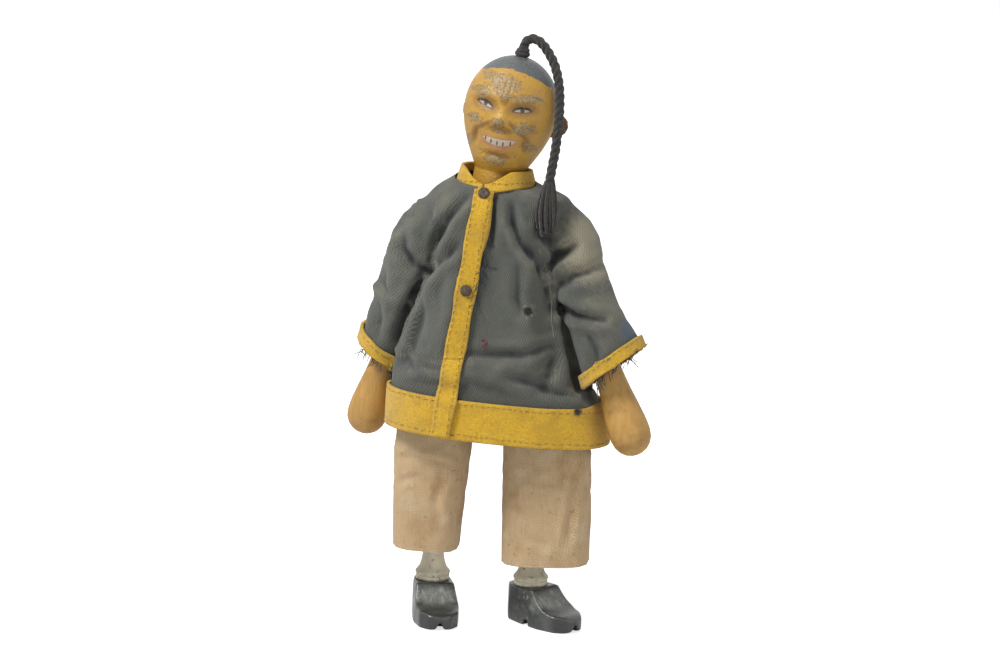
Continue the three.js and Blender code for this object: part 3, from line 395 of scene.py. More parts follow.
def shoe_finish():
    material, tree, shader = node_material("black_paint", 0.32)
    place = stored(tree, "shoe")
    proud = ramp(tree, pointiness(tree), 0.54, 0.64)
    rubbed = sums(tree, "MULTIPLY", proud, patches(tree, place, 0.5, 0.42, 0.6))
    streaks = patches(tree, stretched(tree, place, (1.6, 0.35, 1)), 0.55, 0.42, 0.72)
    # painted highlight: the broad grey on top of the vamp is partly scuffing and partly painted sheen
    vamp = spot(tree, place, (0, 9.5, 8), (10, 5.5, 5), 0.4)
    cap, cap_edge = [
        spot(tree, place, (0, 23, 4), size, 0.12) for size in ((12, 9.4, 9), (13, 10.4, 10))]
    flanks = sums(tree, "MULTIPLY", spot(tree, place, (0, 2, 6), (14, 9, 4), 0.9), 0.6)
    # streaked greys over the vamp and flanks: real scuffs and painted sheen together
    scuff_and_sheen = sums(tree, "MULTIPLY", streaks, sums(tree, "MAXIMUM", vamp, flanks))
    chipped = patches(tree, place, 0.4, 0.66, 0.68)
    sole = spot(tree, place, (0, 5, -0.4), (20, 6, 2.6), 0.4)
    colour = layered(
        tree, srgb("313432"), (patches(tree, place, 0.2, 0.4, 0.7), "4a4e4b"), (vamp, "8d8f89", 0.5),
        (scuff_and_sheen, "a9aaa2", 0.7), (cap_edge, "777a76", 0.6), (cap, "2b2e2c"), (rubbed, "7d7b70"),
        (chipped, "8c6a45"), (sole, "8a6238", streaks))
    fine = noise(tree, place, 1.3, 5)
    dressed(tree, shader, colour, sums(tree, "SUBTRACT", fine, chipped), 0.22)
    shader.inputs["Coat Weight"].default_value = 0.5
    shader.inputs["Coat Roughness"].default_value = 0.3
    return material


SHOE_YAW = {"left": math.radians(50), "right": math.radians(14)}
black_paint = shoe_finish()
for side, sign in SIDES.items():
    shoe_bm = softened(side, merged_copy(f"{side}_shoe"), 0.32 * MM, 30)
    shoe = new_object(f"{side}_shoe_carved", shoe_bm, black_paint)
    to_shoe = Matrix.Rotation(-SHOE_YAW[side], 4, "Z") @ Matrix.Translation(-placed((sign * LEG_X, 0, 0)))
    turn = Matrix.Diagonal((1, -1, 1, 1)) @ to_shoe
    store(shoe, "shoe", lambda point: turn @ point / MM)
    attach(shoe, f"{side}_foot")
    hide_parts(f"{side}_shoe")

# The trousers: soiled beige cotton twill, two straight legs and a seat, tied round the torso under the
# jacket. They are blocked out, grown together, opened at hems and waist, and settled over the wooden legs.
RING = 40
CLOTH = 0.7  # how thick the cotton looks
HANGING_SCALE = 10  # how much larger than life the cloth is settled
HANGING_GAP = 0.006  # between the cloth and a form while it settles, at that scale


def lerp(a, b, t):
    return a + (b - a) * t


def ease(t):
    t = min(1, max(0, t))
    return t * t * (3 - 2 * t)


def between(stations, at):
    """A value, or several, at a place between stations of (place, value)."""
    for (a, low), (b, high) in zip(stations, stations[1:]):
        if at <= b:
            share = max(0, (at - a) / (b - a))
            if isinstance(low, tuple):
                return [lerp(*pair, share) for pair in zip(low, high)]
            return lerp(low, high, share)
    return stations[-1][1]


def oval(middle, half_width, half_depth, height, squareness):
    """A ring of points round a trouser leg or the seat, in mm."""
    points = []
    for k in range(2 * RING):
        angle = math.pi * k / RING
        across, deep = math.sin(angle), -math.cos(angle)
        points.append(Vector((
            middle + half_width * math.copysign(abs(across) ** (2 / squareness), across),
            half_depth * math.copysign(abs(deep) ** (2 / squareness), deep),
            height,
        )))
    return points


def loft(bm, rings):
    """Joins rings of points in mm into one closed form."""
    before = None
    for index, points in enumerate(rings):
        circle = bmesh.ops.create_circle(bm, segments=len(points), radius=1)["verts"]
        for vert, point in zip(circle, points):
            vert.co = placed(point)
        edges = list({edge for vert in circle for edge in vert.link_edges})
        if before:
            bmesh.ops.bridge_loops(bm, edges=before + edges)
        if index in (0, len(rings) - 1):
            bm.faces.new(circle)
        before = [edge for edge in edges if edge.is_valid]
    bmesh.ops.recalc_face_normals(bm, faces=bm.faces)


def grown_together(name, bm, voxel, smoothing):
    """Overlapping forms made into one skin."""
    mesh = bpy.data.meshes.new(name)
    bm.to_mesh(mesh)
    bm.free()
    return softened(name, mesh, voxel, smoothing)


def opened(bm, point, normal, where=lambda centre: True):
    """Cuts off what lies beyond a plane, among the faces that where picks."""
    faces = [face for face in bm.faces if where(face.calc_center_median())]
    cut = {vert for face in faces for vert in face.verts} | {edge for face in faces for edge in face.edges}
    bmesh.ops.bisect_plane(
        bm, geom=list(cut | set(faces)), plane_co=point, plane_no=normal, clear_outer=True)


def settled(name, bm, held, forms, frames, growth, weight, bend, furthest):
    """Moves cloth to where it hangs after some frames over forms, worked out larger than life."""
    bmesh.ops.triangulate(bm, faces=[face for face in bm.faces if len(face.verts) > 4])
    bm.verts.index_update()
    large = Matrix.Scale(HANGING_SCALE, 4)
    cloth = new_object(name + "_hanging", bm.copy())
    cloth.data.transform(large)
    group = cloth.vertex_groups.new(name="held")
    for vert in bm.verts:
        group.add([vert.index], held(vert.co / MM), "REPLACE")
    solids = []
    for form in forms:
        solid = bpy.data.objects.new(form + "_form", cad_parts[form].data.copy())
        solid.data.transform(large)
        scene.collection.objects.link(solid)
        solid.modifiers.new("form", "COLLISION")
        solid.collision.thickness_outer = HANGING_GAP
        solid.collision.cloth_friction = 8
        solids.append(solid)
    hang = cloth.modifiers.new("hang", "CLOTH")
    hang.settings.quality = 6
    hang.settings.mass = 0.2
    hang.settings.tension_stiffness = 18
    hang.settings.compression_stiffness = 18
    hang.settings.shear_stiffness = 6
    hang.settings.bending_stiffness = bend
    hang.settings.air_damping = 3
    hang.settings.vertex_group_mass = "held"
    hang.settings.shrink_min = -growth
    hang.settings.effector_weights.gravity = weight
    hang.collision_settings.distance_min = HANGING_GAP
    for number in range(1, frames + 1):
        scene.frame_set(number)
    done = cloth.evaluated_get(bpy.context.evaluated_depsgraph_get()).data
    for vert, point in zip(bm.verts, done.vertices):
        move = point.co / HANGING_SCALE - vert.co
        if move.length > furthest * MM:
            move *= furthest * MM / move.length
        vert.co += move
    scene.frame_set(1)
    for obj in [cloth, *solids]:
        bpy.data.objects.remove(obj)


def creased(bm, folds, facing):
    """Presses folds of (points of x and z, width, depth) into cloth, each a furrow between two ridges."""
    bm.normal_update()
    moves = {}
    for vert in bm.verts:
        if vert.normal.y * facing < 0.05:
            continue
        at = Vector((vert.co.x / MM - FIGURE_X, vert.co.z / MM))
        push = 0
        for line, width, depth in folds:
            nearest, share = math.inf, 0
            points = [Vector(point) for point in line]
            for number, (a, b) in enumerate(zip(points, points[1:])):
                t = min(1, max(0, (at - a).dot(b - a) / (b - a).length_squared))
                if (at - a.lerp(b, t)).length < nearest:
                    nearest = (at - a.lerp(b, t)).length
                    share = (number + t) / (len(points) - 1)
            fade = math.sin(math.pi * min(1, max(0, 0.12 + 0.76 * share)))
            furrow = 0.55 * math.exp(-((nearest / width - 1.7) ** 2)) - math.exp(-((nearest / width) ** 2))
            push += depth * fade * furrow
        if abs(push) > 0.01:
            moves[vert] = vert.normal * push * MM
    for vert, move in moves.items():
        vert.co += move
    bm.normal_update()


def smoothed(bm, rounds):
    for _ in range(rounds):
        bmesh.ops.smooth_vert(
            bm, verts=[vert for vert in bm.verts if not vert.is_boundary], factor=0.5,
            use_axis_x=True, use_axis_y=True, use_axis_z=True)
    bm.normal_update()


def clear_of_wood(bm, forms, gap):
    """Lifts cloth off the wood under it, to a gap in mm."""
    for form in forms:
        solid = bmesh.new()
        solid.from_mesh(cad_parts[form].data)
        wood = BVHTree.FromBMesh(solid)
        solid.free()
        for vert in bm.verts:
            near, out, _, _ = wood.find_nearest(vert.co, 3 * MM)
            short = gap * MM - (vert.co - near).dot(out) if near else 0
            if short > 0 and vert.normal.dot(out) > 0.4:
                vert.co += vert.normal * short
    bm.normal_update()


def laid_out(bm):
    """Keeps where each point of a cloth surface lies now, before it is settled and creased."""
    layer = bm.verts.layers.float_vector.new("laid_out")
    for vert in bm.verts:
        vert[layer] = vert.co


def cut_away(bm, where):
    """Deletes the faces that where doesn't pick, by where they were laid out, in mm."""
    layer = bm.verts.layers.float_vector["laid_out"]
    away = []
    for face in bm.faces:
        centre = sum((vert[layer] for vert in face.verts), Vector()) / len(face.verts)
        if not where(centre / MM):
            away.append(face)
    bmesh.ops.delete(bm, geom=away, context="FACES")
    bm.verts.layers.float_vector.remove(layer)


def kept(bm, name, where, *materials):
    """The part of a cloth surface that where picks, as a piece of its own with the cloth's thickness."""
    part = bm.copy()
    part.normal_update()
    whole = part.verts.layers.float_vector.new("whole")
    for vert in part.verts:
        vert[whole] = vert.normal
    cut_away(part, where)
    whole = part.verts.layers.float_vector["whole"]
    for back in thickened(part, CLOTH):
        back[whole] = -back[whole]
    normals = [vert[whole].copy() for vert in part.verts]
    obj = new_object(name, part, *materials)
    obj.data.attributes.remove(obj.data.attributes["whole"])
    obj.data.normals_split_custom_set_from_vertices(normals)
    return obj


def thickened(bm, thickness):
    """Gives a surface a back, a thickness behind it, and joins the two round its edges."""
    bm.normal_update()
    rim = [edge for edge in bm.edges if edge.is_boundary]
    copied = bmesh.ops.duplicate(bm, geom=bm.faces[:])
    twin = copied["vert_map"]
    faces = [item for item in copied["geom"] if isinstance(item, bmesh.types.BMFace)]
    backs = {vert for face in faces for vert in face.verts}
    for vert in backs:
        vert.co -= vert.normal * thickness * MM
    bmesh.ops.reverse_faces(bm, faces=faces)
    for edge in rim:
        a, b = edge.verts
        loop = edge.link_loops[0]
        if loop.vert == a:
            a, b = b, a
        bm.faces.new((a, b, twin[b], twin[a]))
    bm.normal_update()
    return backs


WEAVE, asked, given = shader_group(
    "weave", {"Vector": "Vector", "Pitch": "Float", "Slant": "Float", "Rib": "Float"}, {"Height": "Float"})
wobble = add(WEAVE, "TexNoise", {"Vector": asked["Vector"], "Scale": 0.5, "Detail": 3})
bent = add(WEAVE, "VectorMath", {0: wobble.outputs["Color"], "Scale": 0.9}, operation="SCALE")
threads = add(WEAVE, "VectorMath", {0: asked["Vector"], 1: bent.outputs[0]}, operation="ADD")
axes = add(WEAVE, "SeparateXYZ", {0: threads.outputs[0]})
lean = add(
    WEAVE, "Math", {0: axes.outputs["Y"], 1: asked["Slant"], 2: axes.outputs["X"]}, operation="MULTIPLY_ADD")
waves = []
for along in (lean.outputs[0], axes.outputs["Y"]):
    turns = add(WEAVE, "Math", {0: along, 1: asked["Pitch"]}, operation="DIVIDE")
    angle = add(WEAVE, "Math", {0: turns.outputs[0], 1: 2 * math.pi}, operation="MULTIPLY")
    waves.append(add(WEAVE, "Math", {0: angle.outputs[0]}, operation="SINE").outputs[0])
crossed = add(WEAVE, "Math", {0: waves[0], 1: waves[1]}, operation="MULTIPLY")
blend_in = add(WEAVE, "Math", {0: waves[0], 1: asked["Rib"], 2: crossed.outputs[0]}, operation="MULTIPLY_ADD")
level = add(WEAVE, "MapRange", {"Value": blend_in.outputs[0], "From Min": -1.6, "From Max": 1.6})
WEAVE.links.new(level.outputs[0], given["Height"])


def sheen(shader, weight, roughness):
    shader.inputs["Sheen Weight"].default_value = weight
    shader.inputs["Sheen Roughness"].default_value = roughness


def twill_finish():
    material, tree, shader = node_material("trouser_cotton", 0.95)
    flat = stored(tree, "cloth")
    place = in_mm(tree)
    ribs = group_node(tree, WEAVE, {"Vector": flat, "Pitch": 0.95, "Slant": 0.8, "Rib": 1.2})["Height"]
    slubs = patches(tree, stretched(tree, flat, (1.4, 0.12, 1)), 1.0, 0.45, 0.7)
    stained = patches(tree, place, 0.075, 0.47, 0.72)
    foxed = patches(tree, place, 0.32, 0.6, 0.72)
    rubbed = patches(tree, place, 0.1, 0.52, 0.7)
    colour = layered(
        tree, srgb("ddbf95"), (rubbed, "e6d0aa"), (slubs, "c8a97d", 0.4), (stained, "bb9668", 0.7),
        (foxed, "966b3e", 0.55), (ribs, "a07e53", 0.42))
    sheen(shader, 0.12, 0.6)
    lumps = noise(tree, place, 0.35, 4)
    height = sums(tree, "ADD", sums(tree, "MULTIPLY", ribs, 0.5), lumps)
    dressed(tree, shader, colour, height, 0.5)
    return material


TROUSERS = {  # height, half width, half depth, middle
    "left": [
        (20, 15.4, 13.2, 22.6), (40, 15.7, 13.5, 22.4), (62, 15.4, 13.5, 21.8), (80, 14.2, 13.6, 18.6),
        (88, 12, 13.6, 16),
    ],
    "right": [
        (23, 11.4, 13.2, -20.2), (40, 12.3, 13.5, -19.8), (62, 13.5, 13.5, -18.9), (80, 13.4, 13.6, -17),
        (88, 12, 13.6, -15),
    ],
}
TROUSER_HEMS = {"left": 22.6, "right": 26.2}
SEAT = [  # height, half width, half depth
    (78, 30.4, 13.4), (86, 28, 13.7), (92, 26.4, 13.6), (98, 24, 13.2), (104, 20.6, 12.9), (108, 20, 12.8),
]
SEAT_MIDDLE = 1.2
LEG_SQUARENESS = 3
SEAT_SQUARENESS = 2.6
HEM_TILT = 0.03
WAIST = 104.5
KNEE_SEAM = 58
twill = twill_finish()
trousers_bm = bmesh.new()
for rings in TROUSERS.values():
    loft(trousers_bm, [
        oval(middle, width, depth, height, LEG_SQUARENESS) for height, width, depth, middle in rings])
loft(trousers_bm, [
    oval(SEAT_MIDDLE, width, depth, height, SEAT_SQUARENESS) for height, width, depth in SEAT])
trousers_bm = grown_together("trousers", trousers_bm, 1.0 * MM, 6)
opened(trousers_bm, placed((0, 0, WAIST)), (0, 0, 1))
for side, sign in SIDES.items():
    opened(
        trousers_bm, placed((0, 0, TROUSER_HEMS[side])), (HEM_TILT * sign, 0, -1), lambda c: c.x * sign > 0)
laid_out(trousers_bm)
settled(
    "trousers", trousers_bm, lambda point: max(ease((point.z - 96) / 6), 0.2),
    [f"{side}_{part}" for side in SIDES for part in ("thigh", "shin")],
    frames=20, growth=0.015, weight=0.4, bend=4, furthest=3.0)
smoothed(trousers_bm, 2)
creased(trousers_bm, [
    ([(-33, 58.5), (-24, 60), (-11, 58)], 1.2, 0.5), ([(-31, 50), (-22, 53)], 1.4, 0.5),
    ([(-13, 57), (-16, 45), (-15, 33)], 1.6, 0.6), ([(31.5, 62), (32, 44), (30, 30)], 1.5, 1.2),
    ([(26, 64), (28, 52)], 1.4, 0.7), ([(9, 60), (12, 44)], 1.6, 0.5), ([(14, 34), (24, 30)], 1.8, 0.4),
], -1)


def round_leg(point):
    """A place on a leg as (round it, height), in mm, for its weave."""
    sign = 1 if point.x > 0 else -1
    middle = placed((sign * 20, 0, 0))
    return Vector((math.atan2(point.x - middle.x, -point.y) * 15, point.z / MM, 0))


for side, sign in SIDES.items():
    pieces = {}
    for half in ("upper", "lower"):
        pieces[half] = kept(
            trousers_bm, f"{side}_{half}_trouser_cloth",
            lambda c: (c.x - FIGURE_X) * sign > 0 and (c.z > KNEE_SEAM) == (half == "upper"), twill)
    seat = ["trouser_seat"] if side == "right" else []
    for half, piece in pieces.items():
        store(piece, "cloth", round_leg)
        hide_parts(f"{side}_{half}_trouser", *(seat if half == "upper" else []))
        height = WAIST - KNEE_SEAM if half == "upper" else KNEE_SEAM - TROUSER_HEMS[side]
    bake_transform(pieces["upper"])
    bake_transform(pieces["lower"])
trousers_bm.free()

# The jacket: one loose garment of thin slate cotton, faded on the shoulders, with painted highlight on its
# upward faces and fold ridges, painted shade in its furrows, and wide sleeves set in one piece with the body.
# It is blocked out, grown together, opened, settled over the wooden core and creased.
SHOULDER = Vector((22.0, 0, 141.6))
ARMPIT = 16
SLEEVE_DEPTH = 23
SLEEVE_GAP = 2.6
CUFF_TILT = math.radians(16)
ARMS = {
    "left": {
        "side": 1, "splay": math.radians(22.5), "swing": math.radians(11), "top": 26, "puff": 1.0, "end": 56,
        "outside": [(0, 10), (20, 11.4), (33, 11.4), (42, 12.6), (49, 14.4), (56, 15)],
        "inside": [(16, 6.3), (56, 9.2)],
    },
    "right": {
        "side": -1, "splay": math.radians(17), "swing": math.radians(-10), "top": 26, "puff": 0.4, "end": 54,
        "outside": [(0, 9), (12, 10.8), (21, 11.8), (32, 11.6), (45, 10.8), (54, 11.2)],
        "inside": [(16, 6.3), (54, 8.0)],
    },
}


def sleeve_ring(arm, along, reach=0):
    """A ring of a sleeve at a distance from the shoulder, fanning out above the armpit to the body's side."""
    fan = ease((ARMPIT - along) / ARMPIT)
    inside = between(arm["inside"], along)
    width = lerp(inside + between(arm["outside"], along), arm["top"], fan)
    width += arm["puff"] * math.sin(math.pi * fan)
    start = max(along, ARMPIT) - 2 * fan
    sine, cosine = math.sin(arm["splay"]), math.cos(arm["splay"])
    lift = between([(ARMPIT, 0), (arm["end"], CUFF_TILT)], along)
    tilt = lerp(arm["splay"] + lift, math.pi / 2, fan)
    turn = Matrix.Rotation(-arm["swing"] * (1 - fan), 3, "X")
    points = []
    for k in range(RING):
        angle = 2 * math.pi * k / RING
        across = width / 2 * (1 - math.cos(angle))
        point = SHOULDER + turn @ Vector((
            start * sine - inside * cosine + across * math.cos(tilt) - reach,
            (SLEEVE_DEPTH / 2 - 1.5 * fan) * math.sin(angle),
            -start * cosine - inside * sine + across * math.sin(tilt),
        ))
        points.append(Vector((arm["side"] * point.x, point.y, point.z)))
    return points


def on_arm(arm, point):
    """A point as (outwards from the arm's axis, backwards from it, along it from the shoulder)."""
    from_shoulder = Vector((arm["side"] * point.x, point.y, point.z)) - SHOULDER
    local = Matrix.Rotation(arm["swing"], 3, "X") @ from_shoulder
    out = local.x * math.cos(arm["splay"]) + local.z * math.sin(arm["splay"])
    along = local.x * math.sin(arm["splay"]) - local.z * math.cos(arm["splay"])
    return Vector((out, local.y, along))


def off_arm(arm, local):
    """The place of a point that is given along an arm: what on_arm does, undone."""
    point = Vector((
        local.z * math.sin(arm["splay"]) + local.x * math.cos(arm["splay"]), local.y,
        local.x * math.sin(arm["splay"]) - local.z * math.cos(arm["splay"]),
    ))
    point = Matrix.Rotation(-arm["swing"], 3, "X") @ point + SHOULDER
    return Vector((arm["side"] * point.x, point.y, point.z))


JACKET_HEM = 68.6
NECK_EDGE = 158.4
NECK_SLOPE = 0.06  # how much higher the neck is on the figure's right
HEM_SLOPE = 0.06  # how much lower the hem hangs towards the figure's left
JACKET_RINGS = [  # height: right half width, left half width, front, back, squareness
    (64, (34.8, 42.6, 23, 23, 2.5)), (70, (34.6, 42, 23, 23, 2.5)), (82, (34.4, 39.6, 22.6, 22.5, 2.5)),
    (95, (33.6, 34, 22, 22, 2.5)), (105, (31.5, 30, 21.4, 21, 2.5)), (119, (27, 26, 20, 19.5, 2.5)),
    (126, (23.5, 23, 19, 18.5, 2.5)), (133, (20.4, 20.4, 18, 17.5, 2.6)), (141, (19.4, 19.6, 17, 16.5, 2.8)),
    (146, (22, 24, 16.4, 15.8, 2.6)), (149, (24.4, 27, 15.8, 15.2, 2.4)),
    (151.6, (23.6, 27, 14.8, 14.4, 2.3)), (153.6, (21.8, 23.6, 13.8, 13.6, 2.2)),
    (155.2, (20.2, 18.4, 13, 12.8, 2.1)), (157, (17.6, 14.2, 12.2, 12.2, 2)),
    (158.6, (14.2, 12.2, 11.8, 11.8, 2)), (161, (12, 11.8, 11.6, 11.6, 2)),
]
JACKET_ROWS = [64 + 2 * k for k in range(49)]
SLEEVE_ROWS = [60, 57, 54, 50, 46, 42, 38, 34, 30, 26, 22, 19, 16, 13, 10, 7.5, 5, 2.5, 0]
CLEARING_ROUNDS = 4


def slope_at(height):
    """How much the jacket slants at a height: as the hem does low down, and not at all at the chest."""
    return HEM_SLOPE * ease((112 - height) / 36)


def jacket_ring(height):
    """A ring of the jacket's body at a height, pressed in beside the sleeves."""
    right, left, front, rear, squareness = between(JACKET_RINGS, height)
    points = []
    for k in range(2 * RING):
        angle = math.pi * k / RING
        x = abs(math.sin(angle)) ** (2 / squareness) * (left if math.sin(angle) > 0 else -right)
        y = abs(math.cos(angle)) ** (2 / squareness) * (-front if math.cos(angle) > 0 else rear)
        points.append(clear_of_sleeves(Vector((x, y, height - slope_at(height) * x))))
    return points


def sleeve_across(arm, along):
    """Where a sleeve's middle lies out from the arm's axis, and its half width, at a distance along it."""
    inside, outside = between(arm["inside"], along), between(arm["outside"], along)
    return (outside - inside) / 2, (outside + inside) / 2


def clear_of_sleeves(point):
    """Moves a point of the jacket's body out of the sleeves, which hang close beside it, in a few rounds."""
    for arm in CLEARING_ROUNDS * [*ARMS.values()]:
        local = on_arm(arm, point)
        if not ARMPIT + 2 < local.z < arm["end"] + 6:
            continue
        middle, half = sleeve_across(arm, local.z)
        half += SLEEVE_GAP
        share = math.hypot((local.x - middle) / half, local.y / (SLEEVE_DEPTH / 2 + SLEEVE_GAP))
        if share < 1:
            grow = 1 / max(share, 0.05)
            moved = off_arm(arm, Vector((middle + (local.x - middle) * grow, local.y * grow, local.z)))
            point = Vector((moved.x, moved.y, point.z))
    return point


jacket_bm = bmesh.new()
loft(jacket_bm, [jacket_ring(height) for height in JACKET_ROWS])
for arm in ARMS.values():
    loft(jacket_bm, [sleeve_ring(arm, along) for along in SLEEVE_ROWS] + [sleeve_ring(arm, 0, reach=5)])
jacket_bm = grown_together("jacket", jacket_bm, 1.0 * MM, 6)
opened(jacket_bm, placed((0, 0, NECK_EDGE)), (NECK_SLOPE, -0.2, 1))
opened(jacket_bm, placed((0, 0, JACKET_HEM)), (-HEM_SLOPE, 0, -1), lambda c: c.z < 0.085)


def cuff_plane(arm):
    """Middle of a sleeve's end, its two half axes and the direction out of it, in metres."""
    ring = [placed(point) for point in sleeve_ring(arm, arm["end"])]
    across, deep = (ring[RING // 2] - ring[0]) / 2, (ring[RING // 4] - ring[3 * RING // 4]) / 2
    out = across.cross(deep).normalized()
    return sum(ring, Vector()) / RING, across, deep, out if out.z < 0 else -out


for arm in ARMS.values():
    middle, across, deep, out = cuff_plane(arm)

    def at_cuff(centre):
        offset = centre - middle
        share = math.hypot(
            offset.dot(across) / across.length_squared, offset.dot(deep) / deep.length_squared)
        return -4 * MM < offset.dot(out) < 7 * MM and share < 1.07

    opened(jacket_bm, middle, out, at_cuff)

ARMHOLE = 19.5  # from the middle to where the sleeve leaves the body
ARMHOLE_FOOT = 124
SLEEVE_SLACK = 4  # how far outside its sleeve's form the cloth still counts as sleeve
SKIRT_TOP = 96.1
FIRM_HEM = 15.5  # how far up from the hem the sewn band keeps the cloth firm
ELBOW_SEAM = 28
PLACKET_TOP_X = -3  # where the placket starts, under the collar
PLACKET_HEM_X = -14.5  # where it ends
COLLAR_SEAM = 152


def placket_x(height):
    return lerp(PLACKET_HEM_X, PLACKET_TOP_X, (height - JACKET_HEM) / (COLLAR_SEAM - JACKET_HEM))


def jacket_part(centre):
    """Which piece of the jacket a place belongs to."""
    point = Vector((centre.x - FIGURE_X, centre.y - FIGURE_Y, centre.z))
    side = "left" if point.x > 0 else "right"
    arm = ARMS[side]
    local = on_arm(arm, point)
    middle, half = sleeve_across(arm, local.z)
    out = local.x - middle
    out /= half + (SLEEVE_SLACK if out > 0 else SLEEVE_GAP / 2)
    deep = local.y / (SLEEVE_DEPTH / 2 + SLEEVE_GAP / 2)
    if ARMPIT < local.z < arm["end"] + 2 and math.hypot(out, deep) < 1:
        return f"{side}_{'lower' if local.z > ELBOW_SEAM else 'upper'}_sleeve"
    if abs(point.x) > ARMHOLE and point.z > ARMHOLE_FOOT:
        return f"{side}_upper_sleeve"
    if point.z > SKIRT_TOP - slope_at(point.z) * point.x:
        return "jacket_body"
    if point.y > 0:
        return f"{side}_skirt"
    return "left_skirt" if point.x > placket_x(point.z) else "right_skirt"


def jacket_held(point):
    """How firmly a place of the jacket keeps its form while the rest settles."""
    hem = JACKET_HEM + FIRM_HEM - HEM_SLOPE * point.x
    sleeve = 0.3 if "sleeve" in jacket_part(point) else 0.06
    return max(ease((point.z - 144) / 6), ease((hem + 3 - point.z) / 3), sleeve)


ARM_WOOD = [f"{side}_{part}" for side in SIDES for part in ("upper_arm", "forearm")]
laid_out(jacket_bm)
settled(
    "jacket", jacket_bm, jacket_held, ["torso", *ARM_WOOD],
    frames=24, growth=0.02, weight=0.3, bend=6, furthest=7)
smoothed(jacket_bm, 3)
FRONT_FOLDS = [
    ([(-9.2, 152.3), (-15.9, 143.8), (-18.9, 136.6), (-19.5, 131.2)], 1.8, 2.6),
    ([(-19.4, 129), (-24.4, 121), (-28.5, 112), (-31.4, 101)], 2.1, 2.8),
    ([(-31.2, 139), (-31, 133), (-26.5, 127.6), (-22.6, 125)], 2.3, 2.8),
    ([(-38.2, 124), (-39.1, 119.5), (-36.3, 116.3)], 1.8, 2.2),
    ([(-10.8, 136.5), (-15.5, 131.3), (-20.8, 126.2)], 1.7, 1.8),
    ([(1, 152.8), (0.8, 145.2), (0.2, 136.5)], 1.5, 1.8),
    ([(7.1, 150.5), (7.9, 144.6), (10.3, 138.2), (14.3, 132.9)], 1.5, 2.6),
    ([(12.4, 139.4), (16.4, 132), (20, 123.4), (22, 113.7)], 2.0, 2.6),
    ([(17.9, 147), (17.7, 140.6), (22.8, 133.2)], 2.1, 2.4),
    ([(19.4, 129), (23.5, 133.6), (28.8, 137)], 2.0, 2.8),
    ([(22.8, 121.2), (29.1, 127), (37.7, 129.6)], 2.1, 2.0),
    ([(23.2, 115.5), (29.8, 113.1), (40.6, 112.8)], 1.8, 2.6),
    ([(10.1, 129.6), (10.5, 118.8), (11.8, 113.4)], 1.7, 1.4),
    ([(-7.1, 99.4), (2.7, 99.3), (13.5, 99.8), (22.1, 102)], 1.7, 1.5),
    ([(24.3, 101), (22.4, 94.4), (20.5, 87.7)], 2.3, 1.4),
    ([(-22.7, 111.8), (-25.7, 102.9), (-26.5, 94)], 2.4, 1.4),
    ([(-40.6, 114.4), (-39.3, 106.7), (-40.2, 100)], 2.1, 1.6),
    ([(34, 109), (38, 102), (39, 96)], 1.9, 1.6), ([(-27, 146), (-34, 141), (-38, 133)], 2.2, 1.6),
]
creased(jacket_bm, FRONT_FOLDS, -1)
BACK_FOLDS = [
    ([(-18, 146), (-24, 130), (-30, 112)], 2.6, 1.7), ([(16, 147), (24, 132), (31, 114)], 2.6, 1.7),
    ([(-6, 148), (-8, 128), (-5, 106)], 2.4, 1.4), ([(7, 147), (10, 126), (9, 104)], 2.5, 1.4),
    ([(-22, 104), (0, 100), (24, 103)], 2.2, 1.2), ([(-34, 134), (-28, 126)], 2.4, 1.4),
    ([(33, 132), (27, 124)], 2.4, 1.4),
]
creased(jacket_bm, BACK_FOLDS, 1)
clear_of_wood(jacket_bm, ["torso", *ARM_WOOD], CLOTH + 0.5)
smoothed(jacket_bm, 2)


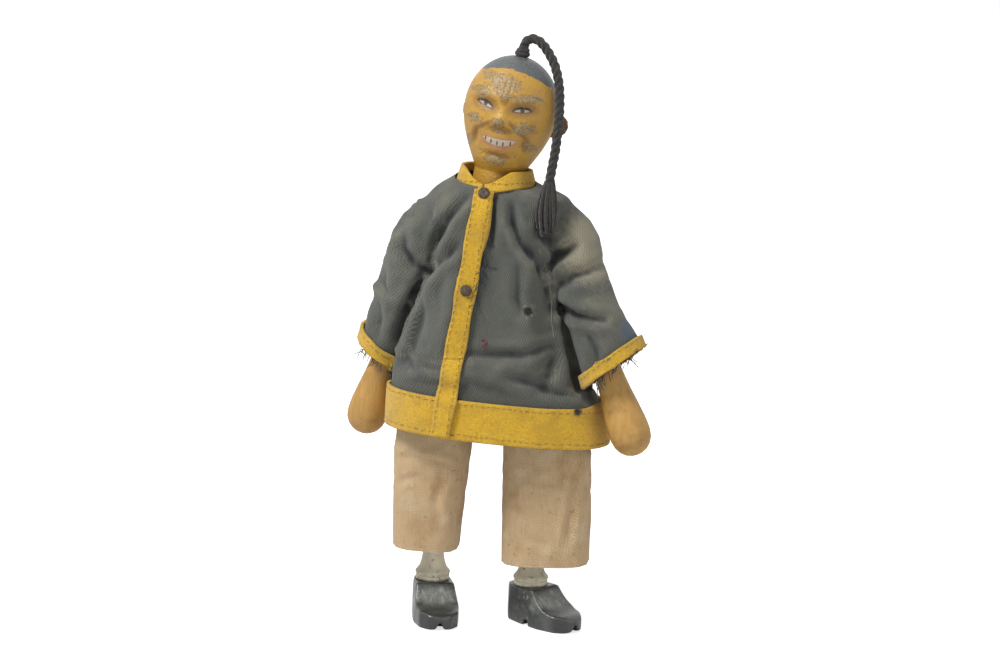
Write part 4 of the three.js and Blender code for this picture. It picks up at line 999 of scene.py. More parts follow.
def cotton_finish():
    material, tree, shader = node_material("jacket_cotton", 0.95)
    flat = stored(tree, "cloth")
    place = in_mm(tree)
    threads = group_node(tree, WEAVE, {"Vector": flat, "Pitch": 0.95, "Slant": 0.5, "Rib": 0.35})["Height"]
    # painted highlight: upward faces and fold ridges are painted lighter, mixed with real fading in patches
    facing = add(tree, "SeparateXYZ", {0: add(tree, "NewGeometry", {}).outputs["Normal"]}).outputs["Z"]
    upward_highlight = ramp(tree, facing, 0.0, 0.75)
    pointed = pointiness(tree)
    # painted shade: fold furrows are painted dark; the ridges feed the painted highlight
    ridges, furrow_shade = ramp(tree, pointed, 0.505, 0.55), ramp(tree, pointed, 0.496, 0.45)
    cloudy = patches(tree, place, 0.09, 0.4, 0.7)
    fading_and_highlight = sums(tree, "MULTIPLY", cloudy, sums(tree, "MAXIMUM", upward_highlight, ridges), 0.8)
    shoulder = spot(tree, place, (33, -6, 137), (17, 22, 18), 0.5)
    sleeve = spot(tree, place, (38, -12, 116), (11, 14, 9), 0.7)
    blue = spot(tree, place, (47, -4, 108), (7, 20, 9), 0.5)
    dusty = spot(tree, place, (-33, 0, 122), (14, 22, 20), 0.6)
    dark, fuzz = patches(tree, place, 0.06, 0.5, 0.7), patches(tree, place, 1.8, 0.45, 0.7)
    torn = spot(tree, place, tuple(placed((14.6, -19, 114.8)) / MM), (3.4, 9, 3.2), 0.7)
    # painted shade: the moth hole is painted near-black for the dark seen through it
    hole_shade = spot(tree, place, tuple(placed((14.2, -19, 114.8)) / MM), (2.6, 9, 2.3), 0.6)
    colour = layered(
        tree, srgb("6a6c64"), (dark, "4c5151", 0.55), (fading_and_highlight, "96927f"), (dusty, "96948a", 0.3),
        (shoulder, "bab297", 0.9), (sleeve, "a39e88", 0.5), (blue, "4d6a86", 0.75), (fuzz, "8a8981", 0.4),
        (furrow_shade, "23282a", 0.85), (threads, "262b2c", 0.75),
        (torn, "a9a28c", patches(tree, place, 0.8, 0.4, 0.6)), (hole_shade, "14161a"))
    sheen(shader, 0.15, 0.55)
    lumps = noise(tree, place, 0.3, 5)
    height = sums(tree, "ADD", sums(tree, "MULTIPLY", threads, 0.6), lumps)
    dressed(tree, shader, colour, height, 0.45)
    return material


def round_body(part, point):
    """A place on the jacket as (round the body or sleeve, along it), in mm, for its weave."""
    at = point / MM
    if "sleeve" in part:
        local = on_arm(ARMS[part.split("_")[0]], Vector((at.x - FIGURE_X, at.y - FIGURE_Y, at.z)))
        return Vector((math.atan2(local.x, -local.y) * 11, local.z, 0))
    return Vector((math.atan2(at.x, -at.y) * 27, at.z, 0))


cotton = cotton_finish()
jacket_parts = ["jacket_body"] + [
    f"{side}_{part}" for side in SIDES for part in ("skirt", "upper_sleeve", "lower_sleeve")]
jacket = {}
for part in jacket_parts:
    piece = kept(jacket_bm, part + "_cloth", lambda c: jacket_part(c) == part, cotton)
    store(piece, "cloth", lambda point: round_body(part, point))
    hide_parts(part)
    jacket[part] = piece


def with_skirt(piece):
    """Bakes the piece's place into its mesh; it is not made to follow the body or a leg."""
    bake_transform(piece)


def with_upper_arm(piece, side):
    """Bakes the upper sleeve's place into its mesh; it is not made to follow the body or the arm."""
    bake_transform(piece)


def with_elbow(piece, side):
    """Bakes the piece's place into its mesh; it is not made to follow the upper arm or the forearm."""
    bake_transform(piece)


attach(jacket["jacket_body"], "trunk")

# The felt trim: yellow felt bands sewn over the jacket's hem and cuffs, a placket down the front and a
# stand collar, each laid on the finished cotton with its own thickness and rows of brown stitches.
FELT = 1.2
FELT_LIFT = 0.5
HEM_BAND = 14
CUFF_BAND = 4.2
PLACKET_WIDTH = 7
STITCH = 2.3  # from one stitch to the next


def felt_finish(name, rows):
    """Felt with rows of stitches at some distances, in mm, across a band stored as (along, across)."""
    material, tree, shader = node_material(name, 0.95)
    band = stored(tree, "band")
    place = in_mm(tree)
    axes = add(tree, "SeparateXYZ", {0: band}).outputs
    wander = noise(tree, place, 0.25, 2)
    across = sums(tree, "ADD", axes["Y"], sums(tree, "MULTIPLY", sums(tree, "SUBTRACT", wander, 0.5), 1.2))
    stitched = 0.0
    for row in rows:
        off = sums(tree, "ABSOLUTE", sums(tree, "SUBTRACT", across, row), 0.0)
        line = ramp(tree, off, 0.42, 0.16)
        turn = sums(tree, "SINE", sums(tree, "MULTIPLY", axes["X"], 2 * math.pi / STITCH), 0.0)
        dash = ramp(tree, turn, -0.5, 0.1)
        stitched = sums(tree, "MAXIMUM", stitched, sums(tree, "MULTIPLY", line, dash))
    fibres = add(tree, "TexNoise", {"Vector": place, "Scale": 1.5, "Detail": 8, "Roughness": 0.75}).outputs[0]
    mottled = ramp(tree, fibres, 0.4, 0.62)
    stained = patches(tree, place, 0.11, 0.45, 0.68)
    dirty = patches(tree, place, 0.4, 0.6, 0.75)
    # painted shade: a hole in the felt is painted dark brown for the dark seen through it
    hole_shade = spot(tree, place, tuple(placed((32.9, -21, 80.3)) / MM), (2.1, 9, 2.6), 0.5)
    colour = layered(
        tree, srgb("f0c233"), (mottled, "cf9f26"), (stained, "b98f2f", 0.5), (dirty, "8a6a2e", 0.5),
        (stitched, "7a5626", 0.2), (hole_shade, "231c12"))
    sheen(shader, 0.3, 0.5)
    height = sums(tree, "SUBTRACT", fibres, sums(tree, "MULTIPLY", stitched, 0.8))
    dressed(tree, shader, colour, height, 0.55)
    return material


def felt_band(name, where, cuts, finish, band_of):
    """A band of felt over part of the jacket: the cotton's own surface, evened out, lifted and thickened."""
    band = jacket_bm.copy()
    cut_away(band, where)
    for point, normal in cuts:
        geom = band.verts[:] + band.edges[:] + band.faces[:]
        bmesh.ops.bisect_plane(band, geom=geom, plane_co=point, plane_no=normal, clear_outer=True)
    smoothed(band, 3)
    for vert in band.verts:
        vert.co += vert.normal * (FELT_LIFT + FELT) * MM
    thickened(band, FELT)
    piece = new_object(name, band, finish)
    store(piece, "band", band_of)
    return piece


def smooth_route(points, steps):
    """Points along a curve through the given ones, evenly enough spaced for sweeping."""
    ends = [points[0] * 2 - points[1], *points, points[-1] * 2 - points[-2]]
    route = []
    for a, b, c, d in zip(ends, ends[1:], ends[2:], ends[3:]):
        for k in range(steps):
            t = k / steps
            route.append(0.5 * (2 * b + (c - a) * t + (2 * a - 5 * b + 4 * c - d) * t * t
                                + (3 * b - a - 3 * c + d) * t ** 3))
    return route + [points[-1]]


def swept(bm, route, radius_at, sides, offset_at=lambda travelled: (0, 0)):
    """A tube along a route, moved aside by an offset in its own frame, with both ends closed."""
    side = Vector((0, 1, 0))
    before, travelled = None, 0
    for index, place in enumerate(route):
        ahead = (route[min(index + 1, len(route) - 1)] - route[max(index - 1, 0)]).normalized()
        side = (side - ahead * side.dot(ahead)).normalized()
        up = ahead.cross(side)
        if index:
            travelled += (place - route[index - 1]).length
        shift, share = offset_at(travelled), index / (len(route) - 1)
        middle = place + side * shift[0] + up * shift[1]
        ring = bmesh.ops.create_circle(bm, segments=sides, radius=1)["verts"]
        for k, vert in enumerate(ring):
            angle = 2 * math.pi * k / sides
            vert.co = middle + (side * math.cos(angle) + up * math.sin(angle)) * radius_at(share)
        edges = list({edge for vert in ring for edge in vert.link_edges})
        if before:
            bmesh.ops.bridge_loops(bm, edges=before + edges)
        if index in (0, len(route) - 1):
            bm.faces.new(ring)
        before = [edge for edge in edges if edge.is_valid]


def thread_finish(name, code):
    material, tree, shader = node_material(name, 0.9)
    fibres = patches(tree, in_mm(tree), 2.5, 0.4, 0.65)
    colour = layered(tree, srgb(code), (fibres, "6f6d66", 0.5))
    tree.links.new(colour, shader.inputs["Base Color"])
    return material


def threads(name, routes, thickness, finish):
    """Loose thread ends along routes of points in the frame."""
    bm = bmesh.new()
    for route in routes:
        swept(bm, smooth_route(route, 5), lambda share: thickness / 2 * MM, 6)
    return new_object(name, bm, finish)


def frayed(start, run, count, length, seed):
    """Routes of thread ends that curl down and out from places along a run."""
    chance = random.Random(seed)
    routes = []
    for _ in range(count):
        at = start.lerp(run, chance.random())
        reach = length * chance.uniform(0.4, 1) * MM
        lean = Vector((chance.uniform(-0.7, 0.7), chance.uniform(-0.6, -0.1), -1)).normalized()
        points = [at]
        for _ in range(3):
            lean = (lean + Vector([chance.uniform(-0.8, 0.8) for _ in range(3)]) * 0.6).normalized()
            points.append(points[-1] + lean * reach / 3)
        routes.append(points)
    return routes


THREAD = 0.26
navy_thread = thread_finish("navy_thread", "2f3945")
hem_felt = felt_finish("yellow_felt", (1.6, 12.4))
for side in SIDES:
    band_top = placed((0, 0, JACKET_HEM + HEM_BAND))
    band = felt_band(
        f"{side}_hem_felt", lambda c: jacket_part(c) == f"{side}_skirt" and c.z < 90,
        [(band_top, (HEM_SLOPE, 0, 1))], hem_felt,
        lambda p: Vector((math.atan2(p.x, -p.y) * 30, (band_top.z - p.z) / MM - HEM_SLOPE * p.x / MM, 0)))
    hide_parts(f"{side}_hem_band")
    skirt = jacket[f"{side}_skirt"]
    with_skirt(skirt)
    with_skirt(band)

cuff_felt = felt_finish("cuff_felt", (2.9,))
for side, arm in ARMS.items():
    middle, across, deep, out = cuff_plane(arm)
    inner = middle - out * CUFF_BAND * MM

    def round_cuff(point):
        offset = point - middle
        turn = math.atan2(offset.dot(across.normalized()), offset.dot(deep.normalized()))
        return Vector((turn * 12, -offset.dot(out) / MM, 0))

    cuff = felt_band(
        f"{side}_cuff_felt", lambda c: jacket_part(c) == f"{side}_lower_sleeve", [(inner, -out)], cuff_felt,
        round_cuff)
    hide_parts(f"{side}_cuff")
    rim = [middle + across.normalized() * shift * MM + deep * -0.9 + out * 0.4 * MM for shift in (-9, 9)]
    fringe = threads(f"{side}_cuff_threads", frayed(*rim, 26, 5, 3), THREAD, navy_thread)
    with_elbow(fringe, side)
    for half, follow in (("upper", with_upper_arm), ("lower", with_elbow)):
        sleeve = jacket[f"{side}_{half}_sleeve"]
        follow(sleeve, side)
    with_elbow(cuff, side)

jacket_surface = BVHTree.FromBMesh(jacket_bm)


def front_of(x, height):
    """The jacket's front at a place, seen from before it, and the direction out of it."""
    start = placed((x, -60, min(height, NECK_EDGE - 4.4)))
    hit, normal, _, _ = jacket_surface.ray_cast(start, Vector((0, 1, 0)))
    return hit, normal if normal.y < 0 else -normal


def felt_strip(name, rows, columns, point_at, finish, lift):
    """A strip of felt through a grid of points of (place, outwards), with rounded edges."""
    bm = bmesh.new()
    grid = []
    for i in range(rows + 1):
        line = []
        for j in range(columns + 1):
            place, out = point_at(i / rows, j / columns)
            line.append(bm.verts.new(place + out * (lift + FELT) * MM))
        grid.append(line)
    for low, high in zip(grid, grid[1:]):
        for quad in zip(low, low[1:], high[1:], high):
            bm.faces.new(quad)
    bmesh.ops.recalc_face_normals(bm, faces=bm.faces)
    bm.normal_update()
    out = point_at(0.5, 0.5)[1]
    if sum((face.normal for face in bm.faces), Vector()).dot(out) < 0:
        bmesh.ops.reverse_faces(bm, faces=bm.faces)
    smoothed(bm, 4)
    thickened(bm, FELT)
    piece = new_object(name, bm, finish)
    return piece


placket_felt = felt_finish("placket_felt", (1.0, 6.0))
PLACKET_TOP = 155.4


def placket_place(bottom, top, lift):
    """Where a run of the placket lies, at a share of its length and of its width."""
    def at(v, u):
        height = lerp(bottom, top, v)
        x = placket_x(height) + (u - 0.5) * (PLACKET_WIDTH + 0.5 * math.sin(height / 3.1))
        hit, out = front_of(x, height)
        hit.z = height * MM
        return hit + Vector((0, -lift(height), 0)) * MM, Vector((0, -1, 0)).lerp(out, 0.5).normalized()
    return at


def over_band(height):
    """How far the placket is lifted to pass over the hem band, in mm."""
    return 1.7 * ease((JACKET_HEM + HEM_BAND + 2.5 - height) / 2.5)


def placket_band(point):
    across = (point.x / MM - FIGURE_X) - placket_x(point.z / MM) + PLACKET_WIDTH / 2
    return Vector((point.z / MM, across, 0))


upper_place = placket_place(SKIRT_TOP + 1, PLACKET_TOP, lambda height: 0)
upper_placket = felt_strip("upper_placket_felt", 70, 8, upper_place, placket_felt, FELT_LIFT)
lower_place = placket_place(JACKET_HEM + 1.5, SKIRT_TOP + 1, over_band)
lower_placket = felt_strip("lower_placket_felt", 34, 8, lower_place, placket_felt, FELT_LIFT)
for piece, node in ((upper_placket, "upper_placket"), (lower_placket, "lower_placket")):
    store(piece, "band", placket_band)
    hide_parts(node)
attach(upper_placket, "trunk")
with_skirt(lower_placket)

COLLAR_RADIUS = 11.9
COLLAR_FOOT = 156.1
COLLAR_HEIGHT = 5.9
COLLAR_GAP = math.radians(1.5)
COLLAR_DROP = 1.4  # how much lower it sits in front


def collar_place(v, u):
    """Where the collar stands, at a share of its height and of the way round from its opening."""
    start = PLACKET_TOP_X / COLLAR_RADIUS
    angle = start + lerp(COLLAR_GAP, 2 * math.pi - COLLAR_GAP, u)
    front = min(u, 1 - u) * 2 * math.pi
    drop = COLLAR_DROP * ease((math.radians(50) - front) / math.radians(50))
    corner = 0.4 + 0.6 * ease(front / math.radians(48))
    radius = COLLAR_RADIUS + 1.1 - 1.7 * v + 0.3 * math.sin(5 * angle)
    x, y = radius * math.sin(angle), -radius * math.cos(angle)
    height = COLLAR_FOOT - drop - NECK_SLOPE * x + v * COLLAR_HEIGHT * corner
    return placed((x, y, height)), Vector((math.sin(angle), -math.cos(angle), 0.1)).normalized()


collar_felt = felt_finish("collar_felt", (1.3,))
collar = felt_strip("collar_felt", 8, 90, collar_place, collar_felt, 0)
store(collar, "band", lambda p: Vector((
    math.atan2(p.x - FIGURE_X * MM, -p.y) * 14, p.z / MM - COLLAR_FOOT, 0)))
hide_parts("collar")
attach(collar, "trunk")
fray_routes = []
for top, bottom, count, seed in ((140, 126, 16, 5), (128, 113, 20, 9)):
    ends = []
    for height in (top, bottom):
        hit, out = front_of(placket_x(height) + PLACKET_WIDTH / 2 + 0.6, height)
        ends.append(hit + out * 0.9 * MM)
    fray_routes += frayed(*ends, count, 6, seed)
placket_threads = threads("placket_threads", fray_routes, THREAD, navy_thread)


def laid(*places):
    """A thread's route over the front of the jacket."""
    return [hit + out * 0.5 * MM for hit, out in (front_of(x, height) for x, height in places)]


red_thread = threads(
    "red_thread",
    [laid((-1.5, 104.1), (-0.2, 104.4), (0.2, 103.2), (-1, 102.8), (0.4, 102.2), (1.2, 102))], 0.4,
    thread_finish("red_thread", "8e2f35"))
pale_thread = threads(
    "pale_thread",
    [laid((17, 136), (18.7, 130), (20.6, 124), (21.7, 117.3), (22.1, 111), (23, 105.4))], 0.16,
    thread_finish("pale_thread", "a39680"))
loose_ends = [placket_threads, red_thread, pale_thread]
for piece in loose_ends:
    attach(piece, "trunk")

# The buttons: two rusty nail heads, domed with a dimple, driven through the placket.
# Each is a spun profile that sits on the felt where CAD has it.
BUTTON_PROFILE = [  # radius, height
    (0.0, -0.6), (1.6, -0.6), (2.0, -0.2), (2.05, 0.2), (1.9, 0.6), (1.5, 1.0), (1.0, 1.2), (0.6, 1.1),
    (0.0, 0.9),
]


def rust_finish():
    material, tree, shader = node_material("nail_steel", 0.6)
    place = in_mm(tree)
    rusty = patches(tree, place, 0.9, 0.38, 0.62)
    pits = patches(tree, place, 2.2, 0.5, 0.7)
    colour = layered(tree, srgb("71675c"), (rusty, "5e4b3d"), (pits, "382c24"))
    shader.inputs["Metallic"].default_value = 0.35
    dressed(tree, shader, colour, sums(tree, "SUBTRACT", rusty, pits), 0.25)
    return material


rust = rust_finish()
for name in ("upper_button", "lower_button"):
    low, high = (Vector(corner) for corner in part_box(name))
    middle = (low + high) / 2
    hit, out = front_of(middle.x / MM - FIGURE_X, middle.z / MM)
    button = new_object(name + "_head", spun(BUTTON_PROFILE, 40), rust)
    seat = Vector((middle.x, hit.y - (FELT_LIFT + FELT + 0.1) * MM, middle.z))
    facing = Vector((0, -1, 0)).lerp(out, 0.4).to_track_quat("Z", "Y").to_matrix().to_4x4()
    button.data.transform(Matrix.Translation(seat) @ facing @ Matrix.Scale(MM, 4))
    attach(button, "trunk")
    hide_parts(name)

# The forearms: turned wood that swells to a club hand with a sawn grip slit, painted ochre and rubbed.
# Each is spun along its own axis and slit on its outer side.
FOREARM_PROFILE = [  # radius, distance from the elbow
    (0.0, -48.0), (1.9, -47.8), (3.8, -47.0), (5.5, -45.5), (6.7, -43.4), (7.25, -40.6), (7.2, -37.4),
    (6.8, -33.6), (6.2, -29.4), (5.6, -25.2), (5.2, -21.0), (4.9, -17.0), (4.7, -13.0), (4.6, -9.6),
    (3.6, -6.6), (3.5, -5.2), (4.4, -2.2), (4.8, 0.4), (4.3, 2.6), (2.9, 4.1), (1.3, 4.7), (0.0, 4.8),
]
SLIT_WIDTH = 1.4
SLIT_DEPTH = 5
SLIT_LENGTH = 16
UPPER_ARM_LENGTH = 36
HAND_TIP = FOREARM_PROFILE[0][1]


def ochre_finish():
    material, tree, shader = node_material("ochre_paint", 0.5)
    place = in_mm(tree)
    # painted shade: the grip slit, the wrist groove and other hollows are painted dark brown
    hollow_shade = ramp(tree, pointiness(tree), 0.49, 0.43)
    streaks = patches(tree, stretched(tree, place, (0.7, 0.7, 0.12)), 0.5, 0.4, 0.7)
    soiled = patches(tree, place, 0.12, 0.45, 0.72)
    specks = patches(tree, place, 0.9, 0.66, 0.7)
    colour = layered(
        tree, srgb("c79b54"), (streaks, "ab7f40", 0.6), (soiled, "956f3e", 0.7), (specks, "5f4526", 0.6),
        (hollow_shade, "3a2a1c"))
    dressed(tree, shader, colour, noise(tree, place, 0.9, 5), 0.18)
    return material


ochre = ochre_finish()
for side, arm in ARMS.items():
    arm_bm = spun(FOREARM_PROFILE, 72)
    bmesh.ops.scale(arm_bm, vec=(MM, MM, MM), verts=arm_bm.verts)
    solid = new_object(f"{side}_forearm_blank", arm_bm)
    saw_bm = bmesh.new()
    bmesh.ops.create_cube(saw_bm, size=1)
    hand = max(radius for radius, _ in FOREARM_PROFILE)
    saw_size = Vector((2 * SLIT_DEPTH, SLIT_WIDTH, 2 * SLIT_LENGTH)) * MM
    bmesh.ops.scale(saw_bm, vec=saw_size, verts=saw_bm.verts)
    bmesh.ops.translate(saw_bm, vec=Vector((hand * arm["side"], 0, HAND_TIP)) * MM, verts=saw_bm.verts)
    saw = new_object(f"{side}_saw", saw_bm)
    slit = solid.modifiers.new("slit", "BOOLEAN")
    slit.object = saw
    slit.operation = "DIFFERENCE"
    slit.solver = "EXACT"
    sawn = bpy.data.meshes.new_from_object(solid.evaluated_get(bpy.context.evaluated_depsgraph_get()))
    for scrap in (solid, saw):
        bpy.data.objects.remove(scrap)
    forearm = new_object(f"{side}_forearm_turned", softened(side + "_sawn", sawn, 0.3 * MM, 3), ochre)
    elbow = off_arm(arm, Vector((0, 0, UPPER_ARM_LENGTH)))
    tilt = Matrix.Rotation(-arm["swing"], 4, "X") @ Matrix.Rotation(-arm["side"] * arm["splay"], 4, "Y")
    forearm.data.transform(Matrix.Translation(placed(elbow)) @ tilt)
    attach(forearm, f"{side}_lower_arm")
    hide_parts(f"{side}_forearm")

# The head: an egg of turned wood with a low carved face, the neck in one piece with it, painted ochre with a
# grey hair cap, eyes, brow and a smiling mouth, and rubbed to a pale ground on everything that stands out.
NECK = Vector((0, 0, 156.1))
HEAD_LEAN = math.radians(9.5)
HEAD_TURN = math.radians(-4)
HEAD_RISE = 45.4
HEAD_WIDEST = 27
HEAD_RADIUS = 16.3
NECK_RADIUS = 8.4
NECK_TOP = 5
CARVING = [  # across, height, half width, half height, how far it stands out
    (-0.8, 23.6, 2.8, 2.2, 2.2), (-0.5, 27.5, 2.2, 3.4, 0.8), (-6.4, 31.6, 4.6, 1.5, 0.7),
    (5.6, 32.0, 4.6, 1.5, 0.7), (-0.4, 32.6, 3.0, 1.6, 0.6), (-7.0, 28.4, 3.6, 1.6, -1.4),
    (5.8, 28.6, 3.6, 1.6, -1.4), (-8.2, 21.6, 3.0, 2.8, 0.8), (7.6, 21.9, 3.0, 2.8, 0.8),
    (-0.3, 17.0, 5.5, 2.6, 0.9), (-0.3, 13.2, 4.4, 1.0, 0.5), (-0.3, 11.5, 4.0, 0.9, -0.5),
    (-0.2, 9.0, 4.2, 2.0, 1.1), (-3.0, 22.6, 1.0, 1.0, 0.6), (2.1, 22.8, 1.0, 1.0, 0.6),
    (-8.3, 17.5, 1.0, 2.8, -1.0), (7.7, 17.8, 1.0, 2.8, -1.0), (-1.4, 35.2, 0.35, 2.4, -0.3),
    (0.5, 35.2, 0.35, 2.4, -0.3), (-0.4, 20.4, 1.0, 1.0, -0.35),
]


def head_radius(rise):
    if rise > HEAD_WIDEST:
        share = (rise - HEAD_WIDEST) / (HEAD_RISE - HEAD_WIDEST)
        return HEAD_RADIUS * math.sqrt(max(0, 1 - share * share))
    jaw = max(0, rise - NECK_TOP) / (HEAD_WIDEST - NECK_TOP)
    return lerp(NECK_RADIUS, HEAD_RADIUS, math.sin(math.pi / 2 * jaw))


def carved(x, rise):
    return sum(
        out * math.exp(-((x - across) / width) ** 2 - ((rise - height) / tall) ** 2)
        for across, height, width, tall, out in CARVING)


def on_head(point):
    turned = Matrix.Rotation(HEAD_LEAN, 3, "Y") @ Matrix.Rotation(HEAD_TURN, 3, "Z") @ Vector(point)
    return placed(NECK + turned)


head_profile = [(0.0, -8.6), (4.0, -8.2), (6.6, -6.2), (8.0, -3.4), (NECK_RADIUS, -0.4)]
head_profile += [(head_radius(rise), rise) for rise in [2 + 0.36 * k for k in range(70)]]
head_profile += [
    (HEAD_RADIUS * math.cos(angle), HEAD_WIDEST + (HEAD_RISE - HEAD_WIDEST) * math.sin(angle))
    for angle in [math.pi / 2 * k / 56 for k in range(1, 57)]]
head_bm = spun(head_profile, 280)
for vert in head_bm.verts:
    if vert.co.y < -1:
        vert.co.y -= carved(vert.co.x, vert.co.z) * ease((-vert.co.y - 1) / 4)


def grains(tree, vector, scale):
    """A chance value for each of many small grains."""
    cells = add(tree, "TexVoronoi", {"Vector": vector, "Scale": scale}).outputs["Color"]
    return add(tree, "SeparateColor", {0: cells}).outputs[0]


def head_finish():
    material, tree, shader = node_material("head_paint", 0.4)
    face = stored(tree, "face")
    axes = add(tree, "SeparateXYZ", {0: face}).outputs
    x, y, z = axes["X"], axes["Y"], axes["Z"]
    front = ramp(tree, y, -2, -5)
    ragged = sums(tree, "MULTIPLY", sums(tree, "SUBTRACT", noise(tree, face, 0.5, 6), 0.5), 1.6)

    def rising(value, low, high):
        return add(tree, "MapRange", {
            "Value": value, "From Min": low, "From Max": high,
        }, interpolation_type="SMOOTHSTEP").outputs[0]

    def painted(centre, size, softness, tilt=0.0, bow=0.0):
        """A mask for a painted oval, tilted, and bowed up or down at its ends."""
        across = sums(tree, "SUBTRACT", x, centre[0])
        up = sums(tree, "SUBTRACT", z, centre[1])
        up = sums(tree, "SUBTRACT", up, sums(tree, "MULTIPLY", across, tilt))
        up = sums(tree, "SUBTRACT", up, sums(tree, "MULTIPLY", across, across, bow))
        far = sums(tree, "ADD", *[
            sums(tree, "POWER", sums(tree, "ABSOLUTE", sums(tree, "DIVIDE", value, half), 0.0), 2.0)
            for value, half in ((across, size[0]), (up, size[1]))])
        return sums(tree, "MULTIPLY", rising(far, 1 + softness, 1 - softness), front)

    def part_of(mask, share):
        return sums(tree, "MULTIPLY", mask, share)

    hairline = sums(
        tree, "ADD", z, sums(tree, "MULTIPLY", x, x, 0.016), sums(tree, "MULTIPLY", x, 0.05),
        sums(tree, "MULTIPLY", y, 0.1), ragged)
    hair = rising(hairline, 39.8, 40.2)
    worn_spots = [  # middle, half size
        ((-2.4, -11, 36), (10, 11, 4.6)), ((-7, -9, 37.6), (6, 11, 2.8)),
        ((-9.4, -11, 32), (6.4, 11, 2.4)), ((6.4, -13, 32.4), (7.4, 11, 2.3)),
        ((-0.4, -15, 32.6), (5, 10, 2.4)), ((-10, -11, 22.3), (5.4, 11, 2.6)),
        ((7.9, -13, 22.2), (5.6, 11, 3.4)), ((-1, -17, 23.2), (3.6, 9, 2.2)),
        ((9.9, -9, 16.2), (3.6, 11, 2.8)), ((-0.5, -13, 9.4), (6.6, 11, 2.8)),
        ((-0.3, -16, 19.7), (4.4, 9, 0.9)), ((-11.5, -8, 14), (2, 8, 3.4)),
    ]
    worn = 0.0
    for centre, size in worn_spots:
        worn = sums(tree, "MAXIMUM", worn, spot(tree, face, centre, tuple(1.15 * half for half in size), 0.9))
    grain, crumb = grains(tree, face, 2.2), grains(tree, face, 2.9)
    thin = patches(tree, face, 0.35, 0.3, 0.7)
    flaked = sums(tree, "ADD", part_of(worn, 0.8), part_of(grain, 0.9), part_of(thin, 0.7))
    bare = sums(tree, "MULTIPLY", rising(flaked, 1.05, 1.4), rising(worn, 0.02, 0.4))
    crumbs, grit = rising(crumb, 0.6, 0.66), rising(crumb, 0.14, 0.1)
    chips = sums(tree, "MULTIPLY", patches(tree, face, 0.6, 0.66, 0.69), front)
    soiled = patches(tree, face, 0.1, 0.42, 0.7)
    hollows = [  # middle, half size, tilt
        ((-7.2, 28.3), (5.0, 2.6), -0.1), ((5.9, 28.5), (5.0, 2.6), 0.1), ((-0.4, 20.7), (4.6, 1.2), 0),
        ((-6.6, 20.8), (3.8, 1.0), 0.7), ((6.0, 21.1), (3.8, 1.0), -0.7), ((-9.4, 16.9), (1.3, 3.0), 0),
        ((8.8, 17.2), (1.3, 3.0), 0), ((-0.3, 11.4), (4.6, 1.0), 0), ((-0.6, 31), (1.6, 2.2), 0),
    ]
    shade = sums(tree, "MAXIMUM", *[painted(centre, size, 0.9, tilt) for centre, size, tilt in hollows])
    colour = layered(
        tree, srgb("c4973d"), (soiled, "a97c3a", 0.6), (shade, "85591f", 0.75), (hair, "52585b"),
        (hair, "7d8284", crumbs, 0.4), (hair, "8b7a5a", grit, 0.5))
    eyes = [((-7.2, 28.3), -0.22), ((5.8, 28.5), 0.14)]
    for (eye_x, eye_z), tilt in eyes:
        colour = layered(
            tree, colour,
            (painted((eye_x, eye_z + 0.15), (3.3, 1.15), 0.35, tilt, -0.03), "35251a", 0.95),
            (painted((eye_x, eye_z - 0.15), (2.4, 0.5), 0.3, tilt, -0.03), "c9c1b2", 0.85),
            (painted((eye_x, eye_z - 0.05), (0.72, 0.72), 0.3), "2d2a29"),
            (painted((eye_x, eye_z), (4, 2.4), 0.5), "8f7a58", crumbs, 0.3))
    colour = layered(
        tree, colour,
        (painted((9.4, 33.5), (2.6, 0.42), 0.4, -0.06, -0.11), "5d7580", 0.8),
        (painted((-10.6, 33.6), (1.9, 0.36), 0.4, 0.2, -0.12), "4d4a44", 0.45),
        (painted((-0.2, 15.4), (6.8, 2.3), 0.3, 0.03, 0.045), "b57f68", 0.6),
        (painted((-0.2, 16.0), (5.5, 1.2), 0.2, 0.03, 0.035), "d2c3b3", 0.9))
    gaps = sums(tree, "MAXIMUM", *[
        painted((gap, 15.7 + 0.045 * gap * gap), (0.25, 0.85), 0.4) for gap in (-4.8, -2.7, -0.5, 1.6, 4.0)])
    nostrils = sums(tree, "MAXIMUM", *[painted((place, 22.0), (0.5, 0.35), 0.5) for place in (-1.9, 0.9)])
    colour = layered(
        tree, colour, (gaps, "33231f", 0.9), (nostrils, "5a3a1c", 0.7), (bare, "8c7752", 0.75),
        (bare, "b5a78f", crumbs, 0.45), (worn, "5f4a33", grit, 0.7), (chips, "d6c39c", 0.7))
    fine = noise(tree, face, 1.1, 6)
    height = sums(tree, "SUBTRACT", part_of(fine, 0.8), part_of(bare, 0.35), part_of(chips, 0.5))
    dressed(tree, shader, colour, height, 0.4)
    return material


head = new_object("carved_head", head_bm, head_finish())
store(head, "face", lambda point: point)
for vert in head.data.vertices:
    vert.co = on_head(vert.co)
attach(head, "head_piece")
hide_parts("head")

# The ears: two tabs of brown leather set into slots behind the cheeks.
# Each is the CAD tab, softened, with a darker grained face.


def leather_finish():
    material, tree, shader = node_material("ear_leather", 0.65)
    place = in_mm(tree)
    grain = patches(tree, place, 1.1, 0.4, 0.65)
    rubbed = patches(tree, place, 0.35, 0.5, 0.7)
    colour = layered(tree, srgb("7c5434"), (grain, "5d3c25"), (rubbed, "9b7350"))
    dressed(tree, shader, colour, grain, 0.25)
    return material


leather = leather_finish()
for side in SIDES:
    ear_bm = softened(side + "_tab", merged_copy(f"{side}_ear"), 0.25 * MM, 4)
    ear = new_object(f"{side}_ear_tab", ear_bm, leather)
    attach(ear, "head_piece")
    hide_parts(f"{side}_ear")

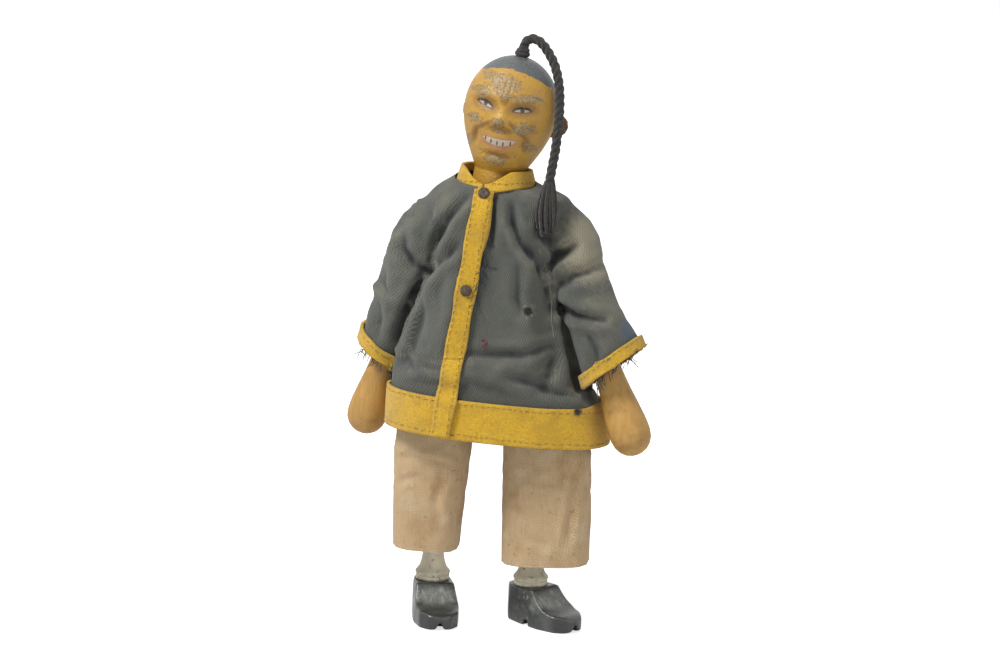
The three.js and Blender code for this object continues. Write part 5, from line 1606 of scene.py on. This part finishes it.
# The queue: dark plied cord knotted into the crown, arching over and hanging before the left shoulder,
# its last stretch unravelled into a tassel. Three plies are swept along the cord's route and twisted.
CROWN_OFFSETS = [
    (0.65, 0, 3.7), (1.3, -0.1, 5), (3.3, -0.4, 6.2), (6, -1, 5.4), (8.9, -2, 2.4), (11.8, -3.6, -2.6),
    (13.6, -5.4, -9), (14.2, -7, -16.5), (14, -8.6, -24), (13.5, -10, -31), (12.6, -11.4, -37.5),
    (11.9, -12.6, -43),
]
TASSEL_OFFSETS = [(12.1, -12.2, -41.5), (11.5, -14.2, -49), (11.4, -15.4, -55), (11.5, -16.2, -61)]
crown = on_head((0, 0, HEAD_RISE))


def cord_finish():
    material, tree, shader = node_material("queue_cord", 0.85)
    place = in_mm(tree)
    fibres = patches(tree, stretched(tree, place, (2.2, 2.2, 0.5)), 1.3, 0.35, 0.7)
    dusty = patches(tree, place, 0.2, 0.5, 0.75)
    colour = layered(tree, srgb("26231f"), (fibres, "3f3a36", 0.6), (dusty, "5d564f", 0.25))
    shader.inputs["Sheen Weight"].default_value = 0.25
    dressed(tree, shader, colour, fibres, 0.3)
    return material


def ply(number, count, ring, pitch):
    """Where one of several twisted plies lies at a distance along its cord."""
    def at(travelled):
        angle = 2 * math.pi * (travelled / pitch + number / count)
        return ring * math.cos(angle), ring * math.sin(angle)
    return at


queue_yarn = cord_finish()
PLIES = 3
PLY_RING = 0.64 * MM
PLY_RADIUS = 1.08 * MM
PLY_PITCH = 8 * MM
cord_points = [crown + Vector(offset) * MM for offset in CROWN_OFFSETS]
cord_route = smooth_route(cord_points, 14)
cord_bm = bmesh.new()
for number in range(PLIES):
    swept(cord_bm, cord_route, lambda share: PLY_RADIUS, 12, ply(number, PLIES, PLY_RING, PLY_PITCH))
queue = new_object("plied_queue", cord_bm, queue_yarn)
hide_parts("queue_cord")

tassel_points = [crown + Vector(offset) * MM for offset in TASSEL_OFFSETS]
tassel_bm = bmesh.new()
STRANDS = 22
TASSEL_STEPS = 9
TASSEL_RADIUS = 2.7 * MM
chance = random.Random(7)
for number in range(STRANDS):
    ring = math.sqrt((number + 0.5) / STRANDS) * TASSEL_RADIUS
    turn = 2.4 * number
    length = chance.uniform(0.82, 1.0)
    swing = chance.uniform(0.2, 0.6)
    route = []
    for k, place in enumerate(smooth_route(tassel_points, TASSEL_STEPS)):
        share = k / (TASSEL_STEPS * (len(tassel_points) - 1))
        spread = ring * (0.25 + 1.05 * math.sin(math.pi * (0.06 + 0.8 * share)))
        angle = turn + swing * share
        route.append(place + Vector((math.cos(angle), 0.75 * math.sin(angle), 0)) * spread)
    route = route[:max(8, int(len(route) * length))]
    thick = chance.uniform(0.55, 0.75) * MM
    swept(tassel_bm, route, lambda share: thick * (1 - 0.45 * share ** 3), 7)
tassel = new_object("queue_strands", tassel_bm, queue_yarn)
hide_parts("queue_tassel")

knot_bm = bmesh.new()
KNOT_TURNS = [(0.9, 1.75, 0.95), (2.0, 1.45, 0.9), (3.0, 1.0, 0.8)]  # height, radius, half thickness
for number, (height, ring, thick) in enumerate(KNOT_TURNS):
    turns = [
        on_head((ring * math.cos(a), ring * math.sin(a), HEAD_RISE + height + 0.25 * math.sin(a + number)))
        for a in [2 * math.pi * k / 20 for k in range(21)]]
    swept(knot_bm, turns, lambda share: thick * MM, 10)
core = [on_head((0, 0, HEAD_RISE + rise)) for rise in (-2.5, 0, 2, 4.2)]
swept(knot_bm, core, lambda share: 1.5 * MM, 12)
knot = new_object("queue_wrapping", knot_bm, queue_yarn)
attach(knot, "head_piece")
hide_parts("queue_knot")
for piece in (queue, tassel):
    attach(piece, "head_piece")
